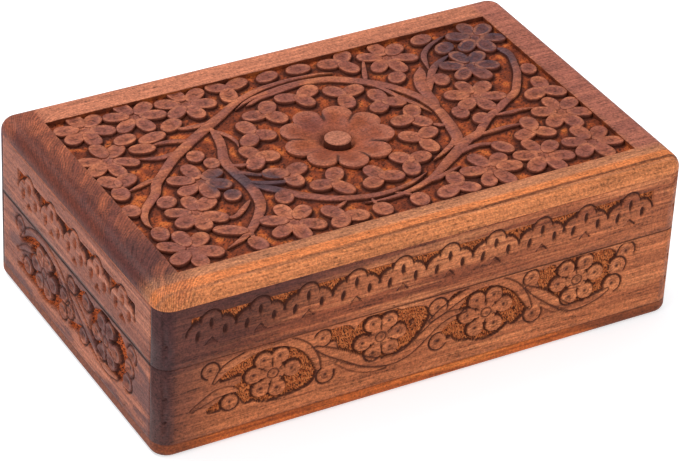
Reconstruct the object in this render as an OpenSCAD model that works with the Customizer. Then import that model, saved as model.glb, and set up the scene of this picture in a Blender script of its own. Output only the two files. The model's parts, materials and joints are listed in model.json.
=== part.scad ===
// Carved wooden puzzle box: a hinged lid on a nailed case, held shut by a hidden wooden slide bolt.
// X runs along the front, Y from the front to the back, Z up. The origin is the middle of the underside.

/* [Case] */
// Length of the box along the front
case_l = 208; // [180:1:240]
// Depth of the box from front to back
case_w = 131; // [112:1:150]
// Thickness of the wall boards
wall_t = 8; // [7.5:0.1:9]
// Radius of the upright corners, seen from above
corner_r = 6.3; // [5.6:0.1:7]
// Thickness of the base board
base_t = 5.5; // [5.2:0.1:8]
// Radius along the lower edge of the base board
base_round = 2.6; // [1.5:0.1:3]
// Height of the wall boards below the parting line
body_wall_h = 30.7; // [30:0.1:45]

/* [Lid] */
// Height of the wall boards above the parting line
lid_wall_h = 23.6; // [20:0.1:34]
// Gap between the rim of the case and the rim of the lid
parting_gap = 0.3; // [0.2:0.05:0.4]
// Thickness of the top board where its edge shows
top_edge_t = 5.2; // [5.2:0.1:8]
// Radius along the upper edge of the top board
top_round = 4.9; // [3:0.1:5]
// Depth of the step that sets the top board into the lid frame
top_step = 2.5; // [2:0.1:4]
// Side clearance of that step in the lid frame
step_clearance = 0.15; // [0.1:0.05:0.3]

/* [Carved panel] */
// Width of the plain border at the two short sides
border_x = 13.3; // [11:0.1:16]
// Width of the plain border at the two long sides
border_y = 13.3; // [11:0.1:16]
// Depth of the carved ground below the border
carve_depth = 2.6; // [2:0.1:3]
// Drop of the carved tops below the border
relief_drop = 0.5; // [0.3:0.1:0.8]
// How deep the relief is rooted in the sunk ground
relief_foot = 0.5; // [0.3:0.1:0.8]
// Place of the large flower across the panel, from its middle
flower_x = -1.3; // [-3:0.1:3]
// Place of the large flower along the panel's short side, from its middle
flower_y = 1.3; // [-3:0.1:3]
// Distance of the small flowers' petals from their middle
flower_ring = 6.6; // [6.4:0.1:7.2]
// Radius of the small flowers' petals
flower_petal_r = 3.1; // [2.8:0.1:3.1]
// Radius of the raised middle of the small flowers
flower_heart_r = 4.3; // [4.1:0.1:4.5]
// Distance of the buds' petals from their middle
bud_ring = 4.6; // [4.3:0.1:5]
// Radius of the buds' petals and of the lone round petals
berry_r = 3.3; // [3:0.1:3.5]
// How far the knuckles at the bends of the vines stand out
knuckle = 0.3; // [0.2:0.1:0.5]
// Width of the carved vines
vine_w = 4.4; // [3.6:0.1:5]
// Radius of the round knob in the middle of the large flower
knob_r = 4.9; // [4:0.1:6]
// Radius of the nine round petals of the large flower
petal_r = 4.6; // [4:0.1:5]
// Distance of the petal centres from the middle of the flower
petal_ring = 16.3; // [15:0.1:18]

/* [Hinges] */
// Place of each hinge, as a share of the way from the middle of the box to its side
hinge_share = 0.6; // [0.45:0.01:0.68]
// Length of each hinge
hinge_l = 25; // [20:0.5:32]
// Thickness of the hinge leaves
leaf_t = 0.9; // [0.7:0.05:1]
// Outer radius of the hinge knuckles
knuckle_r = 1.6; // [1.5:0.05:1.7]
// Radius of the hinge pin
pin_r = 0.8; // [0.7:0.05:0.9]
// Running clearance of the pin in the knuckles
pin_clearance = 0.05; // [0.03:0.01:0.08]
// Distance of the pin inside the back face
pin_inset = 2; // [1.9:0.05:2.2]
// Opening angle at which the two back bevels meet
stop_angle = 105; // [95:1:110]

/* [Secret lock] */
// Length of the guide block behind the front wall
guide_l = 60; // [58:0.5:70]
// Thickness of the guide block
guide_d = 13; // [12:0.5:15]
// Travel of the slide bolt
bolt_travel = 7; // [6:0.1:7.5]
// Height of the bolt
bolt_h = 5; // [4:0.1:5.5]
// Height of the middle of the bolt above the underside
bolt_z = 23; // [21:0.1:25]
// Width of the keeper tongue
tongue_w = 18; // [16:0.1:20]
// Thickness of the keeper tongue
tongue_t = 2; // [1.6:0.1:2.4]
// Reach of the keeper tongue below the parting line
tongue_reach = 18; // [17:0.1:19]
// Length of the finger plate in the underside
plate_l = 40; // [36:0.5:44]
// Depth of the finger plate from front to back
plate_d = 15; // [13:0.5:18]
// Thickness of the finger plate
plate_t = 2.6; // [2.2:0.1:2.8]
// Sliding clearance round the moving pieces
slide_clearance = 0.3; // [0.2:0.05:0.4]

/* [Fasteners] */
// Radius of the panel brads
brad_r = 0.7; // [0.5:0.05:0.8]
// Length of the panel brads
brad_l = 18; // [15:0.5:20]
// Depth that the brad ends are sunk into the underside
brad_sink = 0.4; // [0.2:0.1:0.8]
// Depth that the corner brads are sunk below the plane of the long boards
corner_brad_sink = 1.6; // [1.5:0.1:2.2]
// Distance of the corner brads from the short sides
corner_brad_in = 3; // [2.8:0.1:4]
// Radius of the screw shanks
screw_r = 0.8; // [0.6:0.05:0.9]
// Radius of the countersunk screw heads
screw_head_r = 1.45; // [1.3:0.05:1.5]
// Length of the hinge screws
screw_l = 8; // [6:0.5:10]
// Clearance of brads and screws in their holes
fastener_clearance = 0.02; // [0.01:0.01:0.04]

/* [Hidden] */
$fn = 48;

eps = 0.01;
cut_over = 2;
hinge_side_gap = 0.3;
knuckle_gap = 0.15;
pocket_gap = 0.4;
head_h = 0.7;
wood_top = "#8a5037";
wood_wall = "#7d4a36";
wood_base = "#8f4a26";
wood_inner = "#a06a48";
brass = "#b08d4a";
steel = "#8a8a8c";

rim_z = base_t + body_wall_h;
lid_z = rim_z + parting_gap;
top_z = lid_z + lid_wall_h;
case_h = top_z + top_edge_t;
lap_t = corner_r;
inner_l = case_l - 2 * wall_t;
inner_w = case_w - 2 * wall_t;
front_in_y = -inner_w / 2;
back_in_y = inner_w / 2;
axis_y = case_w / 2 - pin_inset;
hinge_x = hinge_share * case_l / 2;
axis_z = rim_z + parting_gap / 2;
side_mid_x = (case_l - wall_t) / 2;
flower_at = [flower_x, flower_y, case_h - carve_depth - relief_foot];
petal_angles = [105, 62, 21, -14, -57, -98, -139, -177, 142];
panel_l = case_l - 2 * border_x;
panel_w = case_w - 2 * border_y;
relief_h = carve_depth - relief_drop + relief_foot;
ring_r = 0.79 * panel_w / 2;

// The layout of the carved panel, in shares of half its length and half its width.
// Small flowers, each with the turn of its first petal
small_flowers = [
  [-0.88, 0.83, 40], [-0.66, 0.84, 38], [-0.43, 0.84, 36], [-0.89, 0.41, 42], [-0.75, -0.42, 23], [-0.64, -0.09, 30],
  [-0.88, -0.78, 30], [-0.45, -0.78, 32], [0.42, -0.78, 41], [0.66, -0.79, 35], [0.88, -0.77, 33], [0.9, -0.35, 31],
  [0.47, 0.8, 33], [0.89, 0.78, 29], [0.75, 0.45, 35], [0.64, 0.08, 31]];
// Buds of three round petals, each with the turn of its first petal
buds = [
  [-0.23, 0.89, 30], [0.28, 0.88, 50], [0, 0.59, 35], [-0.18, 0.49, 60], [-0.3, 0.29, 80], [0.18, 0.49, 20],
  [0.29, 0.29, 95], [-0.36, 0.02, 85], [-0.31, -0.26, 40], [-0.18, -0.47, 45], [0, -0.54, 90], [0.17, -0.46, 20],
  [0.29, -0.24, 30], [0.33, 0.02, 50], [-0.26, -0.86, 20], [0.24, -0.86, 75], [0.72, -0.47, 40], [0.92, -0.04, 60],
  [-0.93, 0.1, 25]];
// Lone round petals
berries = [
  [-0.77, 0.59], [-0.64, 0.55], [-0.57, 0.21], [-0.97, -0.21], [-0.82, -0.21], [-0.94, -0.54], [-0.69, -0.69],
  [-0.64, -0.91], [-0.4, -0.49], [-0.04, 0.92], [0.1, 0.93], [-0.1, -0.91], [0.06, -0.91], [0.43, 0.53],
  [0.67, 0.92], [0.73, 0.74], [0.59, 0.38], [0.53, -0.06], [0.54, -0.58], [0.95, 0.24]];
// Vines, as the bends of each
vines = [
  [[-0.95, -0.45], [-0.95, -0.33], [-0.9, -0.22], [-0.79, 0.02], [-0.65, 0.26], [-0.49, 0.46]],
  [[-0.48, -0.05], [-0.48, -0.25], [-0.5, -0.48], [-0.59, -0.68], [-0.7, -0.84]],
  [[0.38, -0.44], [0.5, -0.36], [0.61, -0.19], [0.74, -0.05], [0.85, 0.12], [0.92, 0.34], [0.94, 0.55]],
  [[0.46, 0], [0.48, 0.27], [0.52, 0.47], [0.56, 0.6]],
  [[0.5, 0.26], [0.59, 0.51], [0.68, 0.62]]];

// Secret lock, measured from the inner face of the front wall
channel_d = 6.4;
tongue_front = 3.8;
keeper_t = tongue_front;
keeper_h = 15;
keeper_l = 26;
keeper_drop = 1.6;
bolt_d = channel_d - 2 * slide_clearance;
leg_w = 6;
leg_x = 22;
bolt_tip_x = tongue_w / 2 + 1;
notch_in = bolt_travel - 1 + slide_clearance;
guide_top = 1;
slot_below = 1.5;
plate_rise = 0.3;
recess_d = plate_rise + plate_t + slide_clearance / 2;
plate_mid_x = leg_x - 4;
plate_mid_y = front_in_y + slide_clearance + bolt_d / 2 + 1.5;
plate_screw_gap = 3;
plate_screw_l = 10;

// ---- shared shapes ----

module plan_block(l, w, h, r) {
  union() {
    translate([-l / 2 + r, -w / 2, 0]) cube([l - 2 * r, w, h]);
    translate([-l / 2, -w / 2 + r, 0]) cube([l, w - 2 * r, h]);
    for (sx = [-1, 1], sy = [-1, 1])
      translate([sx * (l / 2 - r), sy * (w / 2 - r), 0]) cylinder(r = r, h = h);
  }
}

module quarter_profile(r) {
  intersection() {
    circle(r);
    square(r);
  }
}

// A board whose upper edges are rounded, standing on z = 0
module rounded_slab(l, w, t, corner, edge) {
  flat = t - edge;
  union() {
    plan_block(l, w, flat, corner);
    translate([0, 0, flat - eps]) {
      translate([-l / 2 + corner, -w / 2 + edge, 0]) cube([l - 2 * corner, w - 2 * edge, edge + eps]);
      translate([-l / 2 + edge, -w / 2 + corner, 0]) cube([l - 2 * edge, w - 2 * corner, edge + eps]);
    }
    translate([0, 0, flat]) {
      for (a = [0, 180]) rotate([0, 0, a]) {
        translate([0, w / 2 - edge, 0]) rotate([90, 0, 90])
          linear_extrude(l - 2 * corner, center = true) quarter_profile(edge);
        translate([l / 2 - edge, 0, 0]) rotate([90, 0, 0])
          linear_extrude(w - 2 * corner, center = true) quarter_profile(edge);
      }
      for (sx = [-1, 1], sy = [-1, 1])
        translate([sx * (l / 2 - corner), sy * (w / 2 - corner), 0]) rotate_extrude() union() {
          square([corner - edge, edge]);
          translate([corner - edge, 0]) quarter_profile(edge);
        }
    }
  }
}

// A box between two corners
module span(a, b) {
  translate(a) cube(b - a);
}

module mirrored_x() {
  for (s = [0, 1]) mirror([s, 0, 0]) children();
}

// Front or back board of the case or the lid: full length, with rounded ends that are rebated
// on the inside to take the ends of the short boards
module long_wall(side, z0, h) {
  lap_y = case_w / 2 - lap_t;
  difference() {
    intersection() {
      translate([0, 0, z0]) plan_block(case_l, case_w, h, corner_r);
      translate([-case_l / 2 - 1, side > 0 ? back_in_y : -case_w / 2 - 1, z0 - 1])
        cube([case_l + 2, wall_t + 1, h + 2]);
    }
    for (sx = [-1, 1])
      translate([sx > 0 ? inner_l / 2 : -case_l / 2 - 1, -lap_y, z0 - 1])
        cube([wall_t + 1, 2 * lap_y, h + 2]);
  }
}

// Left or right board, seated in the rebates of the long boards
module short_wall(side, z0, h) {
  lap_y = case_w / 2 - lap_t;
  translate([side > 0 ? inner_l / 2 : -case_l / 2, -lap_y, z0]) cube([wall_t, 2 * lap_y, h]);
}

body_brad_heights = [base_t + 0.3 * body_wall_h, base_t + 0.62 * body_wall_h];
lid_brad_heights = [lid_z + 0.4 * lid_wall_h];

// Brads driven through the long boards into the ends of the short ones
module corner_brads(heights, grow = 0, start = corner_brad_sink) {
  for (sx = [-1, 1], s = [0, 1], z = heights)
    mirror([0, s, 0]) translate([sx * (case_l / 2 - corner_brad_in), -case_w / 2 + start, z])
      rotate([-90, 0, 0]) cylinder(r = brad_r + grow, h = brad_l + corner_brad_sink - start + grow);
}

// Places of the brads in the underside
base_brad_places = concat(
  [for (x = [-0.36, 0.36], s = [-1, 1]) [x * case_l, s * (case_w - wall_t) / 2]],
  [for (y = [-0.2, 0.2], s = [-1, 1]) [s * side_mid_x, y * case_w]],
  [[0, (case_w - wall_t) / 2], [-0.12 * case_l, -(case_w - wall_t) / 2]]);

// Brads driven up through the base board into the walls
module base_brad_set(grow = 0, start = brad_sink) {
  for (p = base_brad_places)
    translate([p[0], p[1], start]) cylinder(r = brad_r + grow, h = brad_l + brad_sink - start + grow);
}

// A countersunk screw pointing down, its head flush with z = 0
module screw(l, grow = 0) {
  translate([0, 0, -l - grow]) cylinder(r = screw_r + grow, h = l + grow);
  translate([0, 0, -head_h]) cylinder(r1 = screw_r + grow, r2 = screw_head_r + grow, h = head_h);
}

// ---- hinges ----

knuckle_l = hinge_l / 3;
leaf_in_y = back_in_y + hinge_side_gap;
leaf_screw_y = (leaf_in_y + axis_y - knuckle_r) / 2;

// The two bevels that meet when the lid stands open; up is 1 for the lid and -1 for the case
module back_bevel(up) {
  rise = (pin_inset + cut_over) * tan(stop_angle / 2);
  translate([-case_l / 2 - 1, axis_y, axis_z]) rotate([90, 0, 90]) linear_extrude(case_l + 2)
    polygon([[0, 0], [pin_inset + cut_over, 0], [pin_inset + cut_over, up * rise]]);
}

// Room in the wood for one hinge
module hinge_pocket(up) {
  mortise_z = up > 0 ? lid_z : rim_z - leaf_t;
  mirrored_x() translate([hinge_x, 0, 0]) {
    translate([-hinge_l / 2 - hinge_side_gap, back_in_y - 1, mortise_z - (up > 0 ? 1 : 0)])
      cube([hinge_l + 2 * hinge_side_gap, axis_y - back_in_y + 1, leaf_t + 1]);
    translate([-hinge_l / 2 - hinge_side_gap, axis_y, axis_z]) rotate([0, 90, 0])
      cylinder(r = knuckle_r + pocket_gap, h = hinge_l + 2 * hinge_side_gap);
  }
}

module hinge_screw_set(up, grow = 0) {
  mirrored_x() for (s = [-1, 1])
    translate([hinge_x + s * hinge_l / 3, leaf_screw_y, up > 0 ? lid_z : rim_z])
      rotate([up > 0 ? 180 : 0, 0, 0]) screw(screw_l, grow);
}

function knuckle_spans(up) = up > 0
  ? [[-knuckle_l / 2 + knuckle_gap, knuckle_l / 2 - knuckle_gap]]
  : [[-hinge_l / 2, -knuckle_l / 2], [knuckle_l / 2, hinge_l / 2]];

// One leaf with its knuckles; up is 1 for the lid and -1 for the case
module hinge_leaf(side, up) {
  plate_z = up > 0 ? lid_z : rim_z - leaf_t;
  color(brass) difference() {
    union() {
      difference() {
        translate([side * hinge_x - hinge_l / 2, leaf_in_y, plate_z])
          cube([hinge_l, axis_y - leaf_in_y, leaf_t]);
        for (s = knuckle_spans(-up))
          translate([side * hinge_x + s[0] - knuckle_gap, axis_y, axis_z]) rotate([0, 90, 0])
            cylinder(r = knuckle_r + knuckle_gap, h = s[1] - s[0] + 2 * knuckle_gap);
      }
      for (s = knuckle_spans(up))
        translate([side * hinge_x + s[0], axis_y, axis_z]) rotate([0, 90, 0])
          cylinder(r = knuckle_r, h = s[1] - s[0]);
    }
    translate([side * hinge_x - hinge_l / 2 - 1, axis_y, axis_z]) rotate([0, 90, 0])
      cylinder(r = pin_r + pin_clearance, h = hinge_l + 2);
    hinge_screw_set(up, fastener_clearance);
  }
}

module hinge_pin(side) {
  color(steel) translate([side * hinge_x - hinge_l / 2, axis_y, axis_z]) rotate([0, 90, 0])
    cylinder(r = pin_r, h = hinge_l);
}

// ---- case ----

module base_board() {
  color(wood_base) difference() {
    mirror([0, 0, 1]) translate([0, 0, -base_t])
      rounded_slab(case_l, case_w, base_t, corner_r, base_round);
    finger_recess();
    leg_slot();
    base_brad_set(fastener_clearance, -1);
  }
}

module body_front_wall() {
  color(wood_wall) difference() {
    long_wall(-1, base_t, body_wall_h);
    corner_brads(body_brad_heights, fastener_clearance, -1);
    base_brad_set(fastener_clearance, -1);
  }
}

module body_back_wall() {
  color(wood_wall) difference() {
    long_wall(1, base_t, body_wall_h);
    back_bevel(-1);
    hinge_pocket(-1);
    hinge_screw_set(-1, fastener_clearance);
    corner_brads(body_brad_heights, fastener_clearance, -1);
    base_brad_set(fastener_clearance, -1);
  }
}

module body_side_wall(side) {
  color(wood_wall) difference() {
    short_wall(side, base_t, body_wall_h);
    corner_brads(body_brad_heights, fastener_clearance, -1);
    base_brad_set(fastener_clearance, -1);
  }
}

// ---- lid ----

// Six round petals around a raised middle
module small_flower() {
  cylinder(r = flower_heart_r, h = relief_h);
  for (a = [0 : 60 : 300])
    rotate([0, 0, a]) translate([flower_ring, 0, 0]) cylinder(r = flower_petal_r, h = relief_h);
}

// A stem with straight spans and a round knuckle at each bend and end
module stem(bends, w) {
  for (p = bends) translate(on_panel(p)) cylinder(r = w / 2 + knuckle, h = relief_h);
  for (i = [1 : len(bends) - 1]) {
    a = on_panel(bends[i - 1]);
    b = on_panel(bends[i]);
    translate(a) rotate([0, 0, atan2(b[1] - a[1], b[0] - a[0])]) translate([0, -w / 2, 0])
      cube([norm(b - a), w, relief_h]);
  }
}

function on_panel(share) = [share[0] * panel_l / 2, share[1] * panel_w / 2, 0];

// The flowers, buds and vines that stand on the sunk ground of the panel
module panel_relief() {
  translate([0, 0, flower_at[2]]) {
    for (p = small_flowers) translate(on_panel(p)) rotate([0, 0, p[2]]) small_flower();
    for (p = buds, a = [0, 120, 240])
      translate(on_panel(p)) rotate([0, 0, p[2] + a]) translate([bud_ring, 0, 0]) cylinder(r = berry_r, h = relief_h);
    for (p = berries) translate(on_panel(p)) cylinder(r = berry_r, h = relief_h);
    for (v = vines) stem(v, vine_w);
    translate([flower_at[0], flower_at[1], 0]) difference() {
      cylinder(r = ring_r + vine_w / 2, h = relief_h);
      translate([0, 0, -1]) cylinder(r = ring_r - vine_w / 2, h = relief_h + 2);
    }
  }
}

module lid_top_board() {
  step_l = inner_l - 2 * step_clearance;
  step_w = inner_w - 2 * step_clearance;
  color(wood_top) union() {
    difference() {
      union() {
        translate([0, 0, top_z]) rounded_slab(case_l, case_w, top_edge_t, corner_r, top_round);
        span([-step_l / 2, -step_w / 2, top_z - top_step], [step_l / 2, step_w / 2, top_z + 1]);
      }
      span([-panel_l / 2, -panel_w / 2, case_h - carve_depth], [panel_l / 2, panel_w / 2, case_h + 1]);
    }
    panel_relief();
    translate(flower_at) {
      cylinder(r = knob_r, h = carve_depth + relief_foot);
      for (a = petal_angles)
        rotate([0, 0, a]) translate([petal_ring, 0, 0]) cylinder(r = petal_r, h = relief_h);
    }
  }
}

module lid_front_wall() {
  color(wood_wall) difference() {
    long_wall(-1, lid_z, lid_wall_h);
    keeper_screw_set(fastener_clearance);
    corner_brads(lid_brad_heights, fastener_clearance, -1);
  }
}

module lid_back_wall() {
  color(wood_wall) difference() {
    long_wall(1, lid_z, lid_wall_h);
    back_bevel(1);
    hinge_pocket(1);
    hinge_screw_set(1, fastener_clearance);
    corner_brads(lid_brad_heights, fastener_clearance, -1);
  }
}

module lid_side_wall(side) {
  color(wood_wall) difference() {
    short_wall(side, lid_z, lid_wall_h);
    corner_brads(lid_brad_heights, fastener_clearance, -1);
  }
}

// ---- secret lock ----

// Shallow recess in the underside, long enough for the finger plate and its travel
module finger_recess() {
  x0 = plate_mid_x - plate_l / 2 - bolt_travel - slide_clearance;
  x1 = plate_mid_x + plate_l / 2 + slide_clearance;
  half = plate_d / 2 + slide_clearance;
  span([x0, plate_mid_y - half, -1], [x1, plate_mid_y + half, recess_d]);
}

// Slot through the base board for the leg of the bolt
module leg_slot() {
  x0 = leg_x - leg_w / 2 - bolt_travel - slide_clearance;
  x1 = leg_x + leg_w / 2 + slide_clearance;
  span([x0, front_in_y, 0], [x1, front_in_y + channel_d, base_t + 1]);
}

// Block glued behind the front wall, milled from its front to guide the bolt and the tongue
module lock_guide_block() {
  z1 = rim_z - guide_top;
  bolt_lo = bolt_z - bolt_h / 2 - slide_clearance;
  bolt_hi = bolt_z + bolt_h / 2 + slide_clearance;
  x0 = leg_x - leg_w / 2 - bolt_travel - slide_clearance;
  x1 = leg_x + leg_w / 2 + slide_clearance;
  tongue_x = tongue_w / 2 + 2 * slide_clearance;
  color(wood_inner) difference() {
    span([-guide_l / 2, front_in_y, base_t], [guide_l / 2, front_in_y + guide_d, z1]);
    span([-tongue_x, front_in_y - 1, rim_z - tongue_reach - slot_below],
      [tongue_x, front_in_y + channel_d, z1 + 1]);
    span([0, front_in_y - 1, bolt_lo], [x1, front_in_y + channel_d, bolt_hi]);
    span([x0, front_in_y - 1, base_t - 1], [x1, front_in_y + channel_d, bolt_lo + 1]);
  }
}

// L-shaped bolt: a bar that enters the tongue's notch, and a leg down to the finger plate
module lock_slide_bolt() {
  y0 = front_in_y + slide_clearance;
  color(wood_inner) difference() {
    union() {
      span([bolt_tip_x, y0, bolt_z - bolt_h / 2], [leg_x + leg_w / 2, y0 + bolt_d, bolt_z + bolt_h / 2]);
      span([leg_x - leg_w / 2, y0, plate_rise + plate_t], [leg_x + leg_w / 2, y0 + bolt_d, bolt_z]);
    }
    plate_screw_set(fastener_clearance);
  }
}

// Plate under the base that a finger pushes along
module lock_finger_plate() {
  grooves = 5;
  pitch = 3;
  groove_r = 0.9;
  color(wood_base) difference() {
    translate([plate_mid_x - plate_l / 2, plate_mid_y - plate_d / 2, plate_rise])
      cube([plate_l, plate_d, plate_t]);
    for (i = [0 : grooves - 1])
      translate([plate_mid_x - 16 + i * pitch, plate_mid_y - plate_d / 2 + 2, plate_rise - groove_r / 2])
        rotate([-90, 0, 0]) cylinder(r = groove_r, h = plate_d - 4);
    plate_screw_set(fastener_clearance);
  }
}

module plate_screw_set(grow = 0) {
  for (s = [-1, 1])
    translate([leg_x + s * plate_screw_gap / 2, front_in_y + slide_clearance + bolt_d / 2, plate_rise])
      rotate([180, 0, 0]) plate_screw(grow);
}

module plate_screw(grow) {
  r = 0.6;
  head = 1.2;
  translate([0, 0, -plate_screw_l - grow]) cylinder(r = r + grow, h = plate_screw_l + grow);
  translate([0, 0, -head_h]) cylinder(r1 = r + grow, r2 = head + grow, h = head_h);
}

// Wooden pad glued inside the lid's front wall, which holds the tongue clear of the walls
module lock_keeper_block() {
  z0 = lid_z + keeper_drop;
  color(wood_inner) difference() {
    span([-keeper_l / 2, front_in_y, z0], [keeper_l / 2, front_in_y + keeper_t, z0 + keeper_h]);
    keeper_screw_set(fastener_clearance);
  }
}

// Brass tongue with a notch in its edge that the bolt enters
module lock_keeper_tongue() {
  y0 = front_in_y + tongue_front;
  z1 = lid_z + keeper_drop + keeper_h - 1;
  color(brass) difference() {
    span([-tongue_w / 2, y0, rim_z - tongue_reach], [tongue_w / 2, y0 + tongue_t, z1]);
    span([tongue_w / 2 - notch_in, y0 - 1, bolt_z - bolt_h / 2 - slide_clearance],
      [tongue_w / 2 + 1, y0 + tongue_t + 1, bolt_z + bolt_h / 2 + slide_clearance]);
    keeper_screw_set(fastener_clearance);
  }
}

module keeper_screw_set(grow = 0) {
  for (s = [-1, 1])
    translate([s * tongue_w / 4, front_in_y + tongue_front + tongue_t, lid_z + keeper_drop + keeper_h / 2])
      rotate([-90, 0, 0]) screw(screw_l, grow);
}

// ---- every node ----

base_board();
body_front_wall();
body_back_wall();
body_side_wall(-1);  // body_left_wall
body_side_wall(1);  // body_right_wall
color(steel) corner_brads(body_brad_heights);  // body_corner_brads
color(steel) base_brad_set();  // base_brads
lid_top_board();
lid_front_wall();
lid_back_wall();
lid_side_wall(-1);  // lid_left_wall
lid_side_wall(1);  // lid_right_wall
color(steel) corner_brads(lid_brad_heights);  // lid_corner_brads
hinge_leaf(-1, -1);  // hinge_left_body_leaf
hinge_leaf(-1, 1);  // hinge_left_lid_leaf
hinge_pin(-1);  // hinge_left_pin
hinge_leaf(1, -1);  // hinge_right_body_leaf
hinge_leaf(1, 1);  // hinge_right_lid_leaf
hinge_pin(1);  // hinge_right_pin
color(steel) hinge_screw_set(-1);  // hinge_body_screws
color(steel) hinge_screw_set(1);  // hinge_lid_screws
lock_guide_block();
lock_slide_bolt();
lock_finger_plate();
color(steel) plate_screw_set();  // lock_plate_screws
lock_keeper_block();
lock_keeper_tongue();
color(steel) keeper_screw_set();  // lock_keeper_screws
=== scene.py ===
"""A carved wooden puzzle box: boards with sunk floral relief, brass hinges and a hidden bolt."""

import json
import math
import random

import bmesh
import bpy
import numpy as np
from mathutils import Matrix, Vector, noise

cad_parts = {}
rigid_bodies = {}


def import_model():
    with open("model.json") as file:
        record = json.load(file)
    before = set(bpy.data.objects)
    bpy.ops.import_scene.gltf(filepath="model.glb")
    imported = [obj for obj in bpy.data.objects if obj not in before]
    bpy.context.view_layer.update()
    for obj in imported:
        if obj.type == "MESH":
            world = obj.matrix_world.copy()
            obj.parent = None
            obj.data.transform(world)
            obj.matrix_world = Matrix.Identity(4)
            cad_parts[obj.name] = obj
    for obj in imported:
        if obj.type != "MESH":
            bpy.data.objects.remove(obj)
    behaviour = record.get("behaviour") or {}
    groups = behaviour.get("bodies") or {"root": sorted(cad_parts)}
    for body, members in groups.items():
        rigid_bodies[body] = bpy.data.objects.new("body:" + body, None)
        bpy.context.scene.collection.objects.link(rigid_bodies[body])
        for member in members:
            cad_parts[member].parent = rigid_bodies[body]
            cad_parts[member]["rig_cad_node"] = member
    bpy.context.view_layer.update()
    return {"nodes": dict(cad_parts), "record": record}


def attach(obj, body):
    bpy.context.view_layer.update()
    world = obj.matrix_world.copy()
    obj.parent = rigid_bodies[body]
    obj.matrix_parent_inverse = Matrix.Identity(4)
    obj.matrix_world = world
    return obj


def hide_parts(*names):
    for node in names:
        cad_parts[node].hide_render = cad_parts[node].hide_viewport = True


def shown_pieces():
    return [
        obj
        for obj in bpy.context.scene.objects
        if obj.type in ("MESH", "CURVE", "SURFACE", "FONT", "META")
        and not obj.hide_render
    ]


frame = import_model()
random.seed(7)

MM = 0.001
MM_PER_METRE = 1000

# The box in millimetres: length, width and height, walls, corners and base board
CASE_L, CASE_W, CASE_H = 208.0, 131.0, 65.3
WALL_T = 8.0
CORNER_R = 6.3
BASE_T = 5.5
# Heights of the case's rim, of the lid's lower edge and of the underside of the lid's board
RIM_Z = 36.2
LID_Z = 36.5
TOP_Z = 60.1
# The lid's board: rounding of its edge, border round its panel, and the step below it with its play
TOP_ROUND = 4.9
BORDER = 13.3
TOP_STEP = 2.5
STEP_GAP = 0.15
# Left, right, front and back edge of the sunk panel
PANEL = (BORDER - CASE_L / 2, CASE_L / 2 - BORDER, BORDER - CASE_W / 2, CASE_W / 2 - BORDER)
# The panel's ground, the tops of its petals and vines, and the level down to which their sides reach
FLOOR_Z = CASE_H - 1.65
CARVE_TOP = CASE_H - 0.5
FOOT_Z = FLOOR_Z - 0.5


# ---- shader words ----


class Value:
    """One output of a material's nodes; sums and products on it add Math nodes."""

    def __init__(self, paint, socket):
        self.paint, self.socket = paint, socket

    def math(self, operation, a, b=None):
        return self.paint.node("ShaderNodeMath", {"operation": operation}, {0: a, 1: b})

    def __add__(self, other):
        return self.math("ADD", self, other)

    def __sub__(self, other):
        return self.math("SUBTRACT", self, other)

    def __rsub__(self, other):
        return self.math("SUBTRACT", other, self)

    def __mul__(self, other):
        return self.math("MULTIPLY", self, other)

    def __pow__(self, other):
        return self.math("POWER", self, other)

    __radd__, __rmul__ = __add__, __mul__

    def upto(self, other):
        """The smaller of the two."""
        return self.math("MINIMUM", self, other)

    def over(self, other):
        """The larger of the two."""
        return self.math("MAXIMUM", self, other)

    def size(self):
        """The value without its sign."""
        return self.math("ABSOLUTE", self)

    def fraction(self):
        """What is left above the whole number, so that a pattern repeats."""
        return self.math("FRACT", self)

    def step(self, low, high):
        """0 below low, 1 above high, smooth between; low may be the larger."""
        return self.paint.node(
            "ShaderNodeMapRange",
            {"interpolation_type": "SMOOTHSTEP"},
            {"Value": self, "From Min": low, "From Max": high},
        )


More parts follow.
